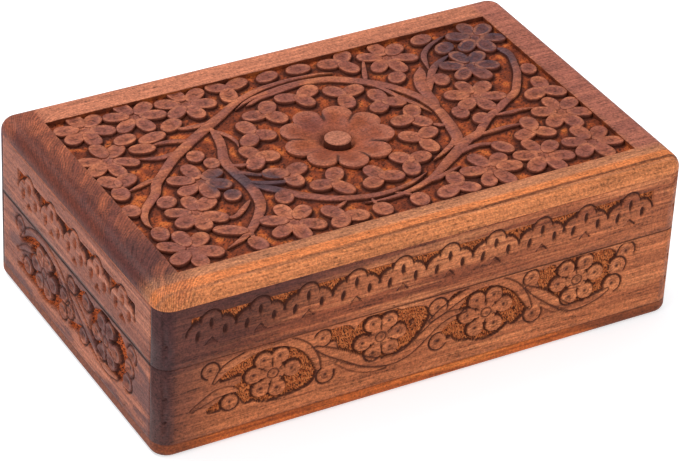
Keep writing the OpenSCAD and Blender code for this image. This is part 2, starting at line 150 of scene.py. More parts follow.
class Paint:
    """One material, with the few node shapes that the finishes are made of."""

    def __init__(self, name):
        self.material = bpy.data.materials.new(name)
        self.material.use_nodes = True
        self.tree = self.material.node_tree
        self.tree.nodes.clear()

    def node(self, kind, settings=None, sockets=None, out=0):
        """Adds a node: its settings first, then the values or links of its sockets, apart from None."""
        made = self.tree.nodes.new(kind)
        for key, value in (settings or {}).items():
            setattr(made, key, value)
        for key, value in (sockets or {}).items():
            if value is None:
                continue
            if isinstance(value, Value):
                self.tree.links.new(value.socket, made.inputs[key])
            else:
                made.inputs[key].default_value = value
        return Value(self, made.outputs[out]) if made.outputs else None

    def place(self, scale=(1, 1, 1), here=None):
        """Object coordinates in millimetres, stretched; here may be another place in metres."""
        here = here or self.node("ShaderNodeTexCoord", out="Object")
        scale = tuple(MM_PER_METRE * s for s in scale)
        return self.node("ShaderNodeMapping", sockets={"Vector": here, "Scale": scale})

    def swirled(self):
        """Object coordinates in metres, with the grain swept round at the left end of the box."""
        x, y, z = self.xyz()
        past = (x + SWIRL_FROM).upto(0)
        drift = self.noise(self.place((0.03, 0.03, 0.03)), detail=2)
        swept = y + past * past * SWIRL_SWEEP + past * (drift - 0.5) * SWIRL_WAVER
        return self.node("ShaderNodeCombineXYZ", sockets={0: x * MM, 1: swept * MM, 2: z * MM})

    def xyz(self):
        """The three object coordinates in millimetres."""
        split = self.node("ShaderNodeSeparateXYZ", sockets={0: self.place()})
        return tuple(Value(self, output) for output in split.socket.node.outputs)

    def noise(self, where, scale=1.0, detail=3.0, rough=0.5, warp=0.0):
        return self.node(
            "ShaderNodeTexNoise",
            sockets={
                "Vector": where, "Scale": scale, "Detail": detail, "Roughness": rough, "Distortion": warp,
            },
        )

    def cells(self, where, scale):
        return self.node("ShaderNodeTexVoronoi", sockets={"Vector": where, "Scale": scale})

    def mix(self, share, a, b):
        """The colour a, going over to b as the share goes from 0 to 1."""
        return self.node("ShaderNodeMix", {"data_type": "RGBA"}, {0: share, 6: a, 7: b}, out=2)

    def dim(self, colour, share):
        """The colour, times a number that is 1 where it stays as it is."""
        return self.node("ShaderNodeVectorMath", {"operation": "SCALE"}, {"Vector": colour, "Scale": share})

    def attribute(self, name):
        return self.node("ShaderNodeAttribute", {"attribute_name": name}, out="Fac")

    def bump(self, height, depth_mm):
        sockets = {"Strength": 1.0, "Distance": depth_mm * MM, "Height": height}
        return self.node("ShaderNodeBump", sockets=sockets)

    def finish(self, colour, roughness, normal, metallic=0.0, shine=None):
        """Ends the material; shine is its specular level, where it isn't the shader's own."""
        sockets = {"Base Color": colour, "Roughness": roughness, "Normal": normal,
                   "Metallic": metallic, "IOR": 1.45, "Specular IOR Level": shine}
        shader = self.node("ShaderNodeBsdfPrincipled", sockets=sockets)
        self.node("ShaderNodeOutputMaterial", sockets={0: shader})
        return self.material


def tone(r, g, b):
    """A display colour as the shader's linear one."""
    def linear(c):
        c /= 255
        return c / 12.92 if c <= 0.04045 else ((c + 0.055) / 1.055) ** 2.4
    return (linear(r), linear(g), linear(b), 1.0)


# ---- finishes ----

RUST = tone(160, 71, 30)
RUST_DEEP = tone(104, 42, 18)
# Dark brown of painted shade in cuts, creases and gaps, and of punch dots, hatching and gouge marks
SHADE_AND_MARK_BROWN = tone(56, 18, 6)
STAIN = tone(52, 42, 54)
# Specular level of oiled wood
OIL_SHINE = 0.22
# The grain of the lid's board is swept round beyond SWIRL_FROM left of the middle, and wavers there
SWIRL_FROM = 80
SWIRL_SWEEP = 0.042
SWIRL_WAVER = 1.6
# Added to a petal's own coordinates, so that 0 means no petal
MARK = 3.0
# Stains of the panel: middle and radius
STAINS = ((73, 32, 27), (-48, -11, 13), (-38, -16, 10), (88, 42, 12))


def grain(paint, along, here):
    """Broad bands, streaks, fibres and short pores that run along one axis of the box, and a fine mottle."""
    def stretched(low, high):
        """Coordinates scaled low along the grain and high across it."""
        return paint.place(tuple(low if axis == along else high for axis in "xyz"), here)
    sway = paint.noise(stretched(0.012, 0.03), detail=2)
    bands = paint.noise(stretched(0.006, 0.16), detail=4, rough=0.55, warp=0.6)
    streaks = paint.noise(stretched(0.02, 0.62), detail=3, rough=0.6)
    fibres = paint.noise(stretched(0.09, 1.5), detail=3, rough=0.65)
    pores = paint.noise(stretched(0.3, 2.1), detail=2, rough=0.6)
    mottle = paint.noise(paint.place((1.2, 1.2, 1.2)), detail=2, rough=0.7)
    return sway, bands, streaks, fibres, pores.step(0.58, 0.68), mottle


def oiled_wood(name, along, dark, middle, light, shade=None, carved=None, swirl=False, lively=1.0, cut=SHADE_AND_MARK_BROWN):
    """Oiled rosewood. shade(paint, colour) lays the patches of one board over its grain, carved(paint) gives
    its tooled ground, lively is the strength of its fibres and cut the colour of its cuts and of the painted
    shade in them and beside raised shapes."""
    paint = Paint(name)
    sway, bands, streaks, fibres, pores, mottle = grain(paint, along, paint.swirled() if swirl else None)
    tint = (bands * 0.6 + streaks * 0.4).step(0.36, 0.62)
    colour = paint.mix(tint, dark, middle)
    colour = paint.mix((streaks * 0.5 + sway * 0.5).step(0.5, 0.66) * 0.7, colour, light)
    if shade:
        colour = shade(paint, colour)
    lines = fibres * 1.6 + streaks * 0.9 - pores * 0.28 - 1.22
    colour = paint.dim(colour, lines * lively + mottle * 2.1 - 0.05)
    rough = 0.54 + pores * 0.2
    height = fibres * 0.4 - pores * 0.9 + streaks * 0.3
    if carved:
        ground = paint.attribute("ground")
        shade_and_cuts = paint.attribute("shade_and_cuts")
        marks, hollow, raised = carved(paint)
        colour = paint.mix(ground.step(0.15, 0.8) * 0.94, colour, paint.mix(marks, hollow, raised))
        # Painted shade in cuts, in creases and beside raised shapes, in the cut colour
        colour = paint.mix(shade_and_cuts.step(0.03, 0.66) * 0.92, colour, cut)
        height = height + marks * ground * 4.0
        rough = rough + ground * 0.2
    return paint.finish(colour, rough, paint.bump(height, 0.06), shine=OIL_SHINE)


def punched(paint):
    """Ground stippled with a round punch: the height of its marks, and the colours below and above."""
    dots = paint.cells(paint.place(), 1.25).step(0.12, 0.46)
    patch = paint.noise(paint.place(), 0.2, detail=3)
    rust = paint.mix(patch.step(0.36, 0.62), RUST_DEEP, RUST)
    return dots * 0.7 + 0.3, SHADE_AND_MARK_BROWN, paint.mix(patch.step(0.54, 0.68) * 0.6, rust, tone(208, 112, 50))


def dashed(paint, deep=tone(160, 74, 34), pale=tone(216, 124, 68)):
    """Ground hatched with short upright strokes in rows."""
    x, y, z = paint.xyz()
    shake = paint.noise(paint.place(), 0.35, detail=2)
    patch = paint.noise(paint.place(), 0.9, detail=3)
    strokes = ((x + y) * 1.02 + z * 0.25 + shake * 3).fraction()
    rows = (z * 0.55 + shake * 2.4).fraction()
    marks = 1 - strokes.step(0.6, 0.72) * strokes.step(1, 0.92) * rows.step(0.16, 0.3) * rows.step(0.92, 0.8)
    return marks, SHADE_AND_MARK_BROWN, paint.mix(patch.step(0.3, 0.7), deep, pale)


def dashed_red(paint):
    """The redder hatched ground of the short walls."""
    return dashed(paint, tone(146, 58, 20), tone(210, 98, 38))


def top_patches(paint, colour):
    """Patches of the lid's board: pale front and back edges, a painted highlight where the front edge rounds
    over, a dark streak along the front where the rounding begins, and a dark left edge with a swirled figure
    and growth rings."""
    x, y, _ = paint.xyz()
    wobble = paint.noise(paint.place((0.02, 0.2, 0.2)), detail=3)
    drift = paint.noise(paint.place((0.05, 0.05, 0.05)), detail=3)
    back = y.step(48, 54)
    colour = paint.mix(back * 0.7, colour, tone(182, 110, 82))
    front = (y + wobble * 4).step(-47, -53)
    colour = paint.mix(front * 0.8, colour, tone(170, 109, 75))
    # Painted highlight: orange where the front edge starts to round over, and on the rounding itself
    front_highlight = (y + wobble * 2.4 + 58.4).size().step(3.2, 1.4)
    colour = paint.mix(front_highlight * 0.75, colour, tone(202, 110, 54))
    rounding_highlight = (y + wobble * 1.5).step(-61.4, -62.6)
    colour = paint.mix(rounding_highlight * 0.8, colour, tone(202, 119, 70))
    # A dark streak along the front, where the rounding begins
    heart = (y + 61.6 + x * -0.006 + wobble * 1.4 - 0.7).size().step(1.0, 0.3) * x.step(-110, 40)
    colour = paint.mix(heart * 0.85, colour, tone(84, 42, 24))
    left = x.step(-89, -92) * (y + drift * 16).step(-46, -36)
    colour = paint.mix(left * 0.8, colour, tone(120, 56, 37))
    edge = (x + drift * 6 - 3).step(-95.5, -98.5) * (y + drift * 16).step(-48, -34) * y.step(58, 44)
    colour = paint.mix(edge * 0.8, colour, tone(86, 34, 22))
    gloom = ((x + 97) * (x + 97) * 0.8 + (y + 38) * (y + 38) * 0.3) ** 0.5 + drift * 8 - 4
    colour = paint.mix(gloom.step(13, 4) * 0.8, colour, tone(76, 37, 34))
    near_left = x.step(-86, -93)
    figure = paint.noise(paint.place((0.05, 0.09, 0.09), paint.swirled()), detail=3)
    warm = figure.step(0.46, 0.7) * near_left * x.step(-101, -96)
    colour = paint.mix(warm * 0.55, colour, tone(184, 98, 60))
    colour = paint.mix(figure.step(0.49, 0.27) * near_left * 0.5, colour, tone(78, 36, 36))
    past = (x + SWIRL_FROM).upto(0)
    ring = ((y + past * past * SWIRL_SWEEP) * 0.7 + drift * 5 + wobble * 1.5).fraction()
    dark_ring = ring.step(0.45, 0.8) * ring.step(1, 0.9) * near_left
    colour = paint.mix(dark_ring * 0.5, colour, tone(66, 30, 24))
    flecks = paint.noise(paint.place((0.5, 1.6, 1.6)), detail=2, rough=0.6).step(0.54, 0.66)
    colour = paint.mix(flecks * front * 0.26, colour, tone(222, 148, 92))
    right = x.step(89, 93) * y.step(-56, -50)
    return paint.mix(right * 0.65, colour, tone(150, 86, 74))


def petal_marks(paint, colour):
    """The painted highlight ring, and the painted shade in the hollow, in the gouge mark and on the rim of
    each petal.
    """
    along, aside = paint.attribute("petal_along") - MARK, paint.attribute("petal_aside") - MARK
    on_petal = along.step(-2, -1.5)
    from_tip = ((along + 0.4) * (along + 0.4) + aside * aside) ** 0.5
    gouge = (from_tip - 0.55).size().step(0.15, 0.02) * aside.size().step(0.5, 0.25) * along.step(-0.1, 0.05)
    hollow = (along * along * 0.7 + aside * aside * 1.6).step(0.5, 0.05)
    across = along * along + aside * aside
    lit = across.step(0.3, 0.55) * across.step(0.92, 0.8)
    uneven = paint.noise(paint.place(), 0.22, detail=2).step(0.4, 0.62)
    # Painted highlight on a ring inside the rim, and painted shade in the hollow, along the rim and in the
    # gouge mark
    colour = paint.mix(on_petal * lit * uneven * 0.42, colour, tone(184, 110, 76))
    colour = paint.mix(on_petal * hollow * 0.3, colour, tone(112, 54, 40))
    colour = paint.mix(on_petal * across.step(0.84, 0.97) * 0.85, colour, RUST_DEEP)
    return paint.mix(on_petal * gouge * 0.5, colour, SHADE_AND_MARK_BROWN)


def panel_patches(paint, colour):
    """Plum-brown clouds, blue-black stains, and the glow, one plum spot and the painted highlight of the
    large flower.
    """
    x, y, _ = paint.xyz()
    cloud = paint.noise(paint.place((0.09, 0.09, 0.09)), detail=3)
    colour = paint.mix(cloud.step(0.42, 0.58) * 0.65, colour, tone(118, 66, 58))
    colour = paint.mix(cloud.step(0.42, 0.3) * 0.6, colour, tone(176, 104, 68))
    spots = None
    for cx, cy, r in STAINS:
        away = ((x - cx) * (x - cx) + (y - cy) * (y - cy)) ** 0.5 + (cloud - 0.5) * 30
        spot = away.step(r, r * 0.3)
        spots = spot if spots is None else spots.over(spot)
    colour = paint.mix(paint.attribute("glow"), colour, tone(170, 80, 38))
    # Painted highlight near the rim of the large flower's petals; the knob's top is paler
    colour = paint.mix(paint.attribute("pale"), colour, tone(182, 114, 86))
    plum = ((x + 4) * (x + 4) * 0.5 + (y - 12) * (y - 12)) ** 0.5 + (cloud - 0.5) * 22
    colour = paint.mix(plum.step(6, 3) * 0.5, colour, tone(104, 52, 52))
    return petal_marks(paint, paint.mix(spots * 0.85, colour, STAIN))


def parting_line(paint, colour, z, gap_shade, half=0.5):
    """Painted shade along the gap where the lid meets the case, to half a width on each side."""
    middle = (RIM_Z + LID_Z) / 2
    return paint.mix((z - middle).size().step(half, half * 0.4) * gap_shade, colour, SHADE_AND_MARK_BROWN)


def wall_patches(paint, colour):
    """The long walls go from near-black at the left end to red-brown at the right."""
    x, _, z = paint.xyz()
    wobble = paint.noise(paint.place((0.02, 0.2, 0.12)), detail=3)
    dark = (x + (z - 30) * -1.5 + wobble * 44 + 8).step(-24, -80)
    colour = paint.mix(dark * 0.88, colour, tone(74, 36, 30))
    colour = paint.mix(z.step(37, 33) * 0.3, colour, tone(214, 126, 78))
    upper = (z + wobble * 4).step(57.5, 60.5) * x.step(70, -60)
    colour = paint.mix(upper * 0.6, colour, tone(80, 42, 38))
    colour = paint.mix((x + wobble * 14 - 7).step(-76, -98) * 0.7, colour, tone(92, 50, 42))
    colour = paint.mix(x.step(-96, -100.5) * 0.8, colour, tone(62, 36, 38))
    # Painted shade along the gap under the lid, stronger towards the right
    return parting_line(paint, colour, z, x.step(-70, 20) * 0.5 + 0.25)


def side_patches(paint, colour):
    """The short walls darken at the front corner and in a few clouds."""
    _, y, z = paint.xyz()
    cloud = paint.noise(paint.place((0.04, 0.04, 0.12)), detail=3)
    colour = paint.mix(cloud.step(0.46, 0.58) * z.step(46, 30) * 0.75, colour, tone(88, 50, 48))
    colour = paint.mix(y.step(-59.5, -63) * 0.8, colour, tone(70, 40, 40))
    # Painted shade along the gap under the lid
    return parting_line(paint, colour, z, gap_shade=0.98, half=1.3)


def base_patches(paint, colour):
    """The base darkens towards both ends and under the walls, and has painted shade along its lower edge at
    the left.
    """
    x, _, z = paint.xyz()
    wobble = paint.noise(paint.place((0.03, 0.3, 0.3)), detail=2)
    dark = (x + wobble * 30).step(62, 88).over(x.step(-78, -98))
    colour = paint.mix(z.step(BASE_T - 0.7, BASE_T - 0.2) * 0.5, colour, SHADE_AND_MARK_BROWN)
    colour = paint.mix(dark * 0.75, colour, tone(92, 46, 32))
    # Painted shade on the lower edge at the left, which faces down
    under = z.step(1.7, 0.5) * x.step(-99, -102.5)
    return paint.mix(under * 0.8, colour, SHADE_AND_MARK_BROWN)


TOP_WOOD = oiled_wood("oiled_top_board", "x", tone(116, 64, 42), tone(158, 94, 64), tone(184, 116, 78),
                      top_patches, punched, swirl=True, lively=1.0)
PANEL_WOOD = oiled_wood("carved_panel_wood", "x", tone(134, 72, 50), tone(154, 86, 61), tone(172, 100, 70),
                        panel_patches, punched, lively=0.5)
LONG_WOOD = oiled_wood("oiled_long_walls", "x", tone(134, 68, 42), tone(178, 102, 64), tone(198, 124, 80),
                       wall_patches, dashed, lively=1.1)
# The short walls' cuts and their painted shade are a deeper brown
SIDE_WOOD = oiled_wood("oiled_short_walls", "y", tone(122, 64, 46), tone(158, 92, 68), tone(182, 114, 84),
                       side_patches, dashed_red, lively=0.8, cut=tone(54, 19, 9))
BASE_WOOD = oiled_wood("oiled_base_board", "x", tone(150, 68, 30), tone(200, 102, 46), tone(214, 122, 60),
                       base_patches, lively=0.7)
INNER_WOOD = oiled_wood("planed_inner_wood", "x", tone(140, 92, 62), tone(180, 128, 92), tone(200, 152, 114))


def metal(name, bright, dull, roughness):
    """Worn metal, with fine lines along the box."""
    paint = Paint(name)
    wear = paint.noise(paint.place((0.5, 0.5, 0.5)), detail=4)
    lines = paint.noise(paint.place((0.4, 6, 6)), detail=2)
    colour = paint.mix(wear.step(0.4, 0.7), bright, dull)
    return paint.finish(colour, roughness + wear * 0.2, paint.bump(lines, 0.01), metallic=1.0)


BRASS = metal("satin_brass", tone(208, 172, 104), tone(150, 116, 66), 0.28)
STEEL = metal("wire_steel", tone(150, 148, 146), tone(90, 82, 78), 0.35)
FILLER = oiled_wood("wax_over_brads", "z", tone(80, 50, 48), tone(88, 56, 52), tone(96, 62, 56))


# ---- mesh words ----


def piece(name, bm, material, body):
    """A smooth-shaded piece of the object, from a finished bmesh."""
    mesh = bpy.data.meshes.new(name)
    bm.to_mesh(mesh)
    bm.free()
    mesh.materials.append(material)
    for face in mesh.polygons:
        face.use_smooth = True
    made = bpy.data.objects.new(name, mesh)
    bpy.context.scene.collection.objects.link(made)
    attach(made, body)
    return made


def sharp_by_angle(made, degrees):
    """Creases steeper than this stay crisp under smooth shading."""
    bm = bmesh.new()
    bm.from_mesh(made.data)
    for edge in bm.edges:
        if len(edge.link_faces) == 2 and edge.calc_face_angle(0) > math.radians(degrees):
            edge.smooth = False
    bm.to_mesh(made.data)
    bm.free()


def face_up(bm):
    """Points the faces of a mesh outwards, with its broad side up."""
    bmesh.ops.recalc_face_normals(bm, faces=bm.faces[:])
    if sum(f.normal.z * f.calc_area() for f in bm.faces) < 0:
        bmesh.ops.reverse_faces(bm, faces=bm.faces[:])


def score(bm, faces, at, way, dist):
    """Cuts new edges into the faces where a plane meets them."""
    geom = list({e for f in faces for e in f.edges}) + list({v for f in faces for v in f.verts}) + faces
    bmesh.ops.bisect_plane(bm, geom=geom, dist=dist, plane_co=at, plane_no=way)


def ease(t):
    """0 below 0, 1 above 1, smooth between."""
    t = np.clip(t, 0, 1)
    return t * t * (3 - 2 * t)


def smooth_path(points, per_span):
    """Evenly curved line through the points, with any further numbers of each point carried along."""
    p = np.array(points, float)
    ends = np.vstack([2 * p[0] - p[1], p, 2 * p[-1] - p[-2]])
    out = []
    for i in range(1, len(ends) - 2):
        a, b, c, d = ends[i - 1 : i + 3]
        slope, bend, twist = c - a, 2 * a - 5 * b + 4 * c - d, 3 * b - a - 3 * c + d
        for t in np.arange(per_span) / per_span:
            out.append(0.5 * (2 * b + slope * t + bend * t**2 + twist * t**3))
    out.append(p[-1])
    return np.array(out)


# ---- carving of the lid's panel ----

# Small flowers: centre and the direction of each petal in degrees
SMALL_FLOWERS = [
    ((-79.5, 43.4), (40, 93, 165, 216, 270, 333)),
    ((-59.6, 43.8), (38, 103, 160, 219, 279, 346)),
    ((-39.1, 43.9), (36, 95, 158, 216, 275, 338)),
    ((-80.9, 21.4), (42, 92, 164, 214, 273, 330)),
    ((-68.2, -21.9), (83, 36, 153, 209, 262, 318)),
    ((-58.2, -4.8), (90, 25, 325, 270, 205, 150)),
    ((-80, -40.7), (90, 145, 38, 212, 268, 325)),
    ((-40.7, -40.6), (92, 38, 150, 208, 266, 326)),
    ((38, -40.9), (101, 40, 352, 284, 232, 166)),
    ((59.5, -41), (95, 40, 338, 281, 218, 156)),
    ((80.1, -40.4), (93, 38, 340, 279, 216, 158)),
    ((81.2, -18.5), (91, 34, 335, 275, 218, 154)),
    ((42.9, 41.7), (93, 36, 338, 277, 218, 154)),
    ((80.5, 40.8), (89, 34, 335, 275, 214, 152)),
    ((68, 23.7), (95, 38, 338, 279, 218, 156)),
    ((58.3, 4.4), (91, 36, 336, 277, 216, 152)),
]
# Buds of two or three round petals, given by the petals' middles
BUDS = [
    [(-24, 49.2), (-15.8, 48.7), (-22.6, 42)],
    [(21.2, 46.6), (28.4, 49.4), (26.9, 41.2)],
    [(-4.8, 32.1), (5, 33), (0.9, 27.6)],
    [(-13.7, 29.4), (-20.8, 26.2), (-13.7, 21.7)],
    [(-27.2, 20.4), (-23.2, 13), (-30.2, 11.8)],
    [(13.4, 29), (20.5, 26.8), (14.2, 20.5)],
    [(26.3, 20), (23, 12.4), (30.2, 13.3)],
    [(-35, -2), (-28.8, 0), (-33.7, 5)],
    [(-32.4, -11.1), (-23.9, -11.7), (-28, -17.4)],
    [(-21.3, -24.5), (-13.4, -20), (-14.7, -29.4)],
    [(-0.5, -24.9), (-4.1, -30.7), (4.4, -29.7)],
    [(12.9, -20.8), (19.5, -23.1), (12.8, -28.4)],
    [(22.8, -10), (26.2, -18.2), (30.4, -10)],
    [(25.4, 0.5), (31.8, -2.8), (32.3, 5)],
    [(-25.9, -40.6), (-26, -47.2), (-18.9, -46.3)],
    [(16.6, -46.8), (25, -47.2), (23.3, -40.5)],
    [(66.2, -20.3), (60.8, -26.2), (68.4, -27.5)],
    [(79, -3.7), (86.9, -5), (84.9, 2.3)],
    [(-86.6, 8.6), (-80.8, 7.2), (-86.3, -0.1)],
]
# Lone berries and leaves: middle, direction, half length, half width
LEAVES = [
    (-69.7, 31, 20, 4.4, 3.2), (-60.3, 28.3, 10, 5.2, 3), (-66.6, 23.3, 170, 4.6, 3.2),
    (-50.5, 32.9, 30, 4.6, 3.2), (-52.1, 10.8, 60, 3.6, 3.2), (-49, 4.2, 80, 3.4, 2.8),
    (-87.7, -11.2, 90, 3.6, 3.2), (-74.3, -11.2, 40, 3.8, 3.3), (-85.2, -28.2, 70, 3.8, 3.2),
    (-51.8, -16.9, 60, 3.6, 3.1), (-62.5, -36.1, 150, 5.8, 2.9), (-57.8, -47.2, 100, 4, 3.2),
    (-36.4, -25.8, 60, 3.8, 3.3), (-3.8, 48.2, 20, 4.4, 3.2), (9.2, 48.3, 0, 4.6, 3.2),
    (-9.2, -46.8, 90, 3.8, 3.5), (5.5, -46.8, 80, 3.8, 3.4), (39.2, 27.7, 50, 3.9, 3.3),
    (61, 47.7, 20, 4.4, 3.2), (65.8, 38.7, 30, 4.2, 3.2), (53.4, 19.7, 70, 3.8, 3.2),
    (52.5, -10.1, 30, 3.8, 3.1), (47.8, -3.3, 80, 3.8, 3.1), (49.2, -30.2, 120, 4.2, 3.2),
    (86.6, 12.6, 60, 3.5, 3),
]
# Vines: x, y and half width at points along each stem
VINES = [
    [(-85.9, -24.1, 1), (-86.2, -19.2, 1.6), (-83.2, -12.5, 2), (-75.6, -4.9, 2.3), (-72.2, 0.9, 2.4),
     (-66.7, 6.3, 2.4), (-59.5, 13.1, 2.5), (-53.3, 17.6, 2.6), (-48.9, 20.7, 2.6), (-43.9, 23.9, 2.6),
     (-39, 26.9, 2.6), (-34, 30, 2.5), (-30, 32.4, 2.3), (-22.1, 37.4, 2.1), (-13.2, 41, 1.9),
     (-6.1, 42.4, 1.6), (3.7, 43, 1.3), (13.5, 42.2, 1), (19.5, 40.6, 0.5)],
    [(-25, 32.6, 0.5), (-17.4, 36.6, 1.3), (-6.1, 39, 1.8), (3.7, 39.6, 2.2), (13.5, 38.4, 2.4),
     (18.5, 36.4, 2.5), (23.4, 33.2, 2.6), (28.2, 29.4, 2.6), (32.2, 25.6, 2.5), (35.6, 21.4, 2.4),
     (39.1, 14.6, 2.3), (40.9, 8, 2.3), (41.6, 1.2, 2.4), (40.7, -5.8, 2.6), (39.6, -11.4, 2.8),
     (37.8, -17.7, 2.6), (34, -22.4, 1.6)],
    [(52, -14.4, 1), (45.4, -18, 1.9), (39, -21, 2.5), (33, -25.4, 2.6), (26.6, -29.7, 2.4), (19, -35, 2),
     (12.7, -38.2, 1.7), (3.8, -40.8, 1.4), (-5.1, -41.6, 1), (-13, -40.6, 0.5)],
    [(-43.2, -13.8, 2), (-38.3, -17.9, 2.4), (-31.5, -25.4, 2.5), (-27.1, -29.2, 2.4), (-22.7, -32.4, 2.2),
     (-16.6, -35.2, 2), (-8, -37.6, 1.8), (0.6, -37.8, 1.5), (9, -36, 1.2), (17, -32.4, 0.6)],
    [(38.4, -14.4, 1.7), (35.2, -19.4, 1.6), (30, -23, 1.4), (25.6, -25.4, 0.9), (22.4, -27, 0.4)],
    [(-38.5, 26.9, 2.4), (-39, 18.9, 2.3), (-40.9, 12.2, 2.3), (-42.8, 7.8, 2.4), (-44.1, 3.3, 2.6),
     (-44.1, -5, 2.6), (-43.4, -13.8, 2.7), (-44.2, -20.5, 2.6), (-45.7, -25.8, 2.5), (-49.2, -31.2, 2.3),
     (-53.7, -36.1, 2.1), (-58.1, -40.1, 1.8), (-62.6, -42.8, 1.5), (-68.7, -45.4, 0.8)],
    [(-20.2, 33.5, 0.6), (-17.7, 34.4, 1.2), (-13.2, 36.2, 1.3), (-6.1, 37.2, 1.3), (3.7, 38.6, 1.2),
     (13.5, 39.1, 0.8)],
    [(23.3, 30.6, 0.8), (27.8, 27.6, 1.3), (30.7, 22.6, 1.4), (33.2, 15.1, 1.5), (36.3, 7.9, 1.4),
     (38.5, 1.2, 0.9)],
    [(-48.9, 20.7, 2.2), (-54.2, 23.1, 1.7), (-59.2, 23.9, 1.3), (-63.6, 23.7, 0.9)],
    [(-37, 29.1, 2), (-42.9, 28.9, 1.7), (-47.5, 29.3, 1.4), (-50.8, 30.9, 1)],
    [(-54.7, 16.7, 2.1), (-62.2, 15.5, 1.7), (-66.6, 16.2, 1.4), (-71, 17.8, 0.9)],
    [(-68.6, 3.9, 2.1), (-74.3, 3.2, 1.6), (-79.5, 1.6, 1.2), (-83.4, 0.5, 0.8)],
    [(-47.7, -21.9, 2.1), (-53.6, -26.8, 1.6), (-57.6, -29, 1.3), (-62.5, -27.3, 0.9)],
    [(-56, -38.3, 1.7), (-57.4, -42.2, 1.3), (-57.8, -45.6, 0.8)],
    [(34.1, -23.1, 2.5), (39.5, -20.4, 2.3), (45.4, -18.7, 2.2), (50.3, -14.6, 2.2), (55.7, -10.1, 2.1),
     (62, -6.5, 2.1), (67.4, -2.8, 2.1), (73.3, 0.7, 2.1), (77.5, 6.2, 2.1), (81.5, 12.4, 2),
     (83.7, 17.9, 1.9), (85.7, 23.8, 1.9), (85.4, 28.5, 2.2), (83.1, 30.7, 1.6)],
    [(44.4, -19.4, 1.8), (52.4, -19, 1.5), (59.6, -18.8, 1.2), (64.3, -19.7, 0.8)],
    [(57.5, -9.8, 1.7), (64.2, -10.7, 1.5), (68.7, -10.7, 1.2), (74.4, -12, 0.8)],
    [(29.6, -27.7, 1.9), (35.5, -25.7, 1.7), (41.7, -24.8, 1.5), (46.2, -26.1, 1.2), (49.2, -28.9, 0.8)],
    [(41.4, 0.2, 2.2), (43.3, 8.2, 2.3), (43.8, 14.2, 2.7), (45, 19.7, 3.1), (47.2, 24.6, 3),
     (49.5, 28.2, 2.2), (51.1, 31.6, 0.6)],
    [(45.3, 13.7, 1.8), (49.9, 21.5, 2), (53.5, 26.6, 2), (57.5, 30.1, 1.9), (61.3, 32.2, 1.5),
     (66.1, 34.3, 0.8)],
    [(53, 28.2, 1.7), (55.7, 36.3, 1.7), (58.9, 40.6, 1.6), (62.7, 43.4, 1.4), (67.2, 45.6, 1.1),
     (71.2, 46.9, 0.7)],
    [(10.7, -37.9, 1.6), (17.6, -37.7, 1.5), (23.5, -35.9, 1.3), (29.5, -34.3, 0.9)],
    [(-17.8, -36.7, 1.5), (-21.8, -38.7, 1.2), (-24.7, -39.9, 0.8)],
    [(-9.5, -39.3, 1.5), (-9.6, -41.7, 1.2), (-9.3, -44, 0.9)],
    [(-0.2, -39.3, 1.5), (3.2, -41.8, 1.2), (5.1, -44, 0.9)],
    [(27.3, 29.6, 1.9), (29.8, 35.1, 1.5), (32.8, 41.2, 1.1), (34.8, 45.7, 0.7)],
    [(-39, 24.9, 1.9), (-35.7, 19.3, 1.5), (-34.5, 14.2, 1.2), (-35.4, 9.6, 0.8)],
    [(-44.1, -3, 1.9), (-40.8, -6.4, 1.5), (-36.7, -9.3, 1.3), (-31.4, -10.9, 0.9)],
    [(-43.7, -10.9, 2.2), (-37.3, -15.1, 1.7), (-31.4, -16.9, 1.3), (-26, -16.9, 0.8)],
    [(-44.1, 1, 1.8), (-40.2, -1.2, 1.4), (-36.2, -1.8, 1)],
    [(39.7, -8.8, 1.8), (36.2, -7.2, 1.4), (33.2, -4.2, 1)],
]


# Beyond this share of its radius a petal is rim, which is rounded off by so much
RIM_SHARE, RIM_DROP = 0.97, 0.22
# Petals reach no further than this over the panel's edges
OVERLAP = 0.2
# Small flowers: how far their petals reach, where these start, and their half width; then the half length
# and half width of a bud's petals
PETAL_REACH, PETAL_START, PETAL_HALF_W = 11.6, 1.5, 3.95
BUD_HALF_L, BUD_HALF_W = 4.95, 3.95
# Radius of the berry in the middle of a small flower
BERRY_R = 2.3
# How much larger than listed the lone leaves are cut
LEAF_GROWS_L, LEAF_GROWS_W = 1.1, 1.12


def petal_template():
    """A dished round petal of radius 1 and height 1, its rings ready to be moved."""
    bm = bmesh.new()
    bmesh.ops.create_circle(bm, cap_ends=True, segments=24, radius=1.0)
    wall = bmesh.ops.extrude_edge_only(bm, edges=bm.edges[:])
    foot = [v for v in wall["geom"] if isinstance(v, bmesh.types.BMVert)]
    cap = max(bm.faces, key=lambda f: len(f.verts))
    bmesh.ops.translate(bm, verts=foot, vec=(0, 0, -1))
    for thickness in (0.08, 0.16, 0.2, 0.2, 0.18):
        bmesh.ops.inset_region(bm, faces=[cap], thickness=thickness, use_even_offset=True)
    bmesh.ops.poke(bm, faces=[cap])
    bmesh.ops.recalc_face_normals(bm, faces=bm.faces[:])
    mesh = bpy.data.meshes.new("petal_template")
    bm.to_mesh(mesh)
    bm.free()
    return mesh


PETAL = petal_template()
# What stands on the ground so far: petals as ellipses, vines as rows of discs
PETALS_SET = []
DISCS_SET = []


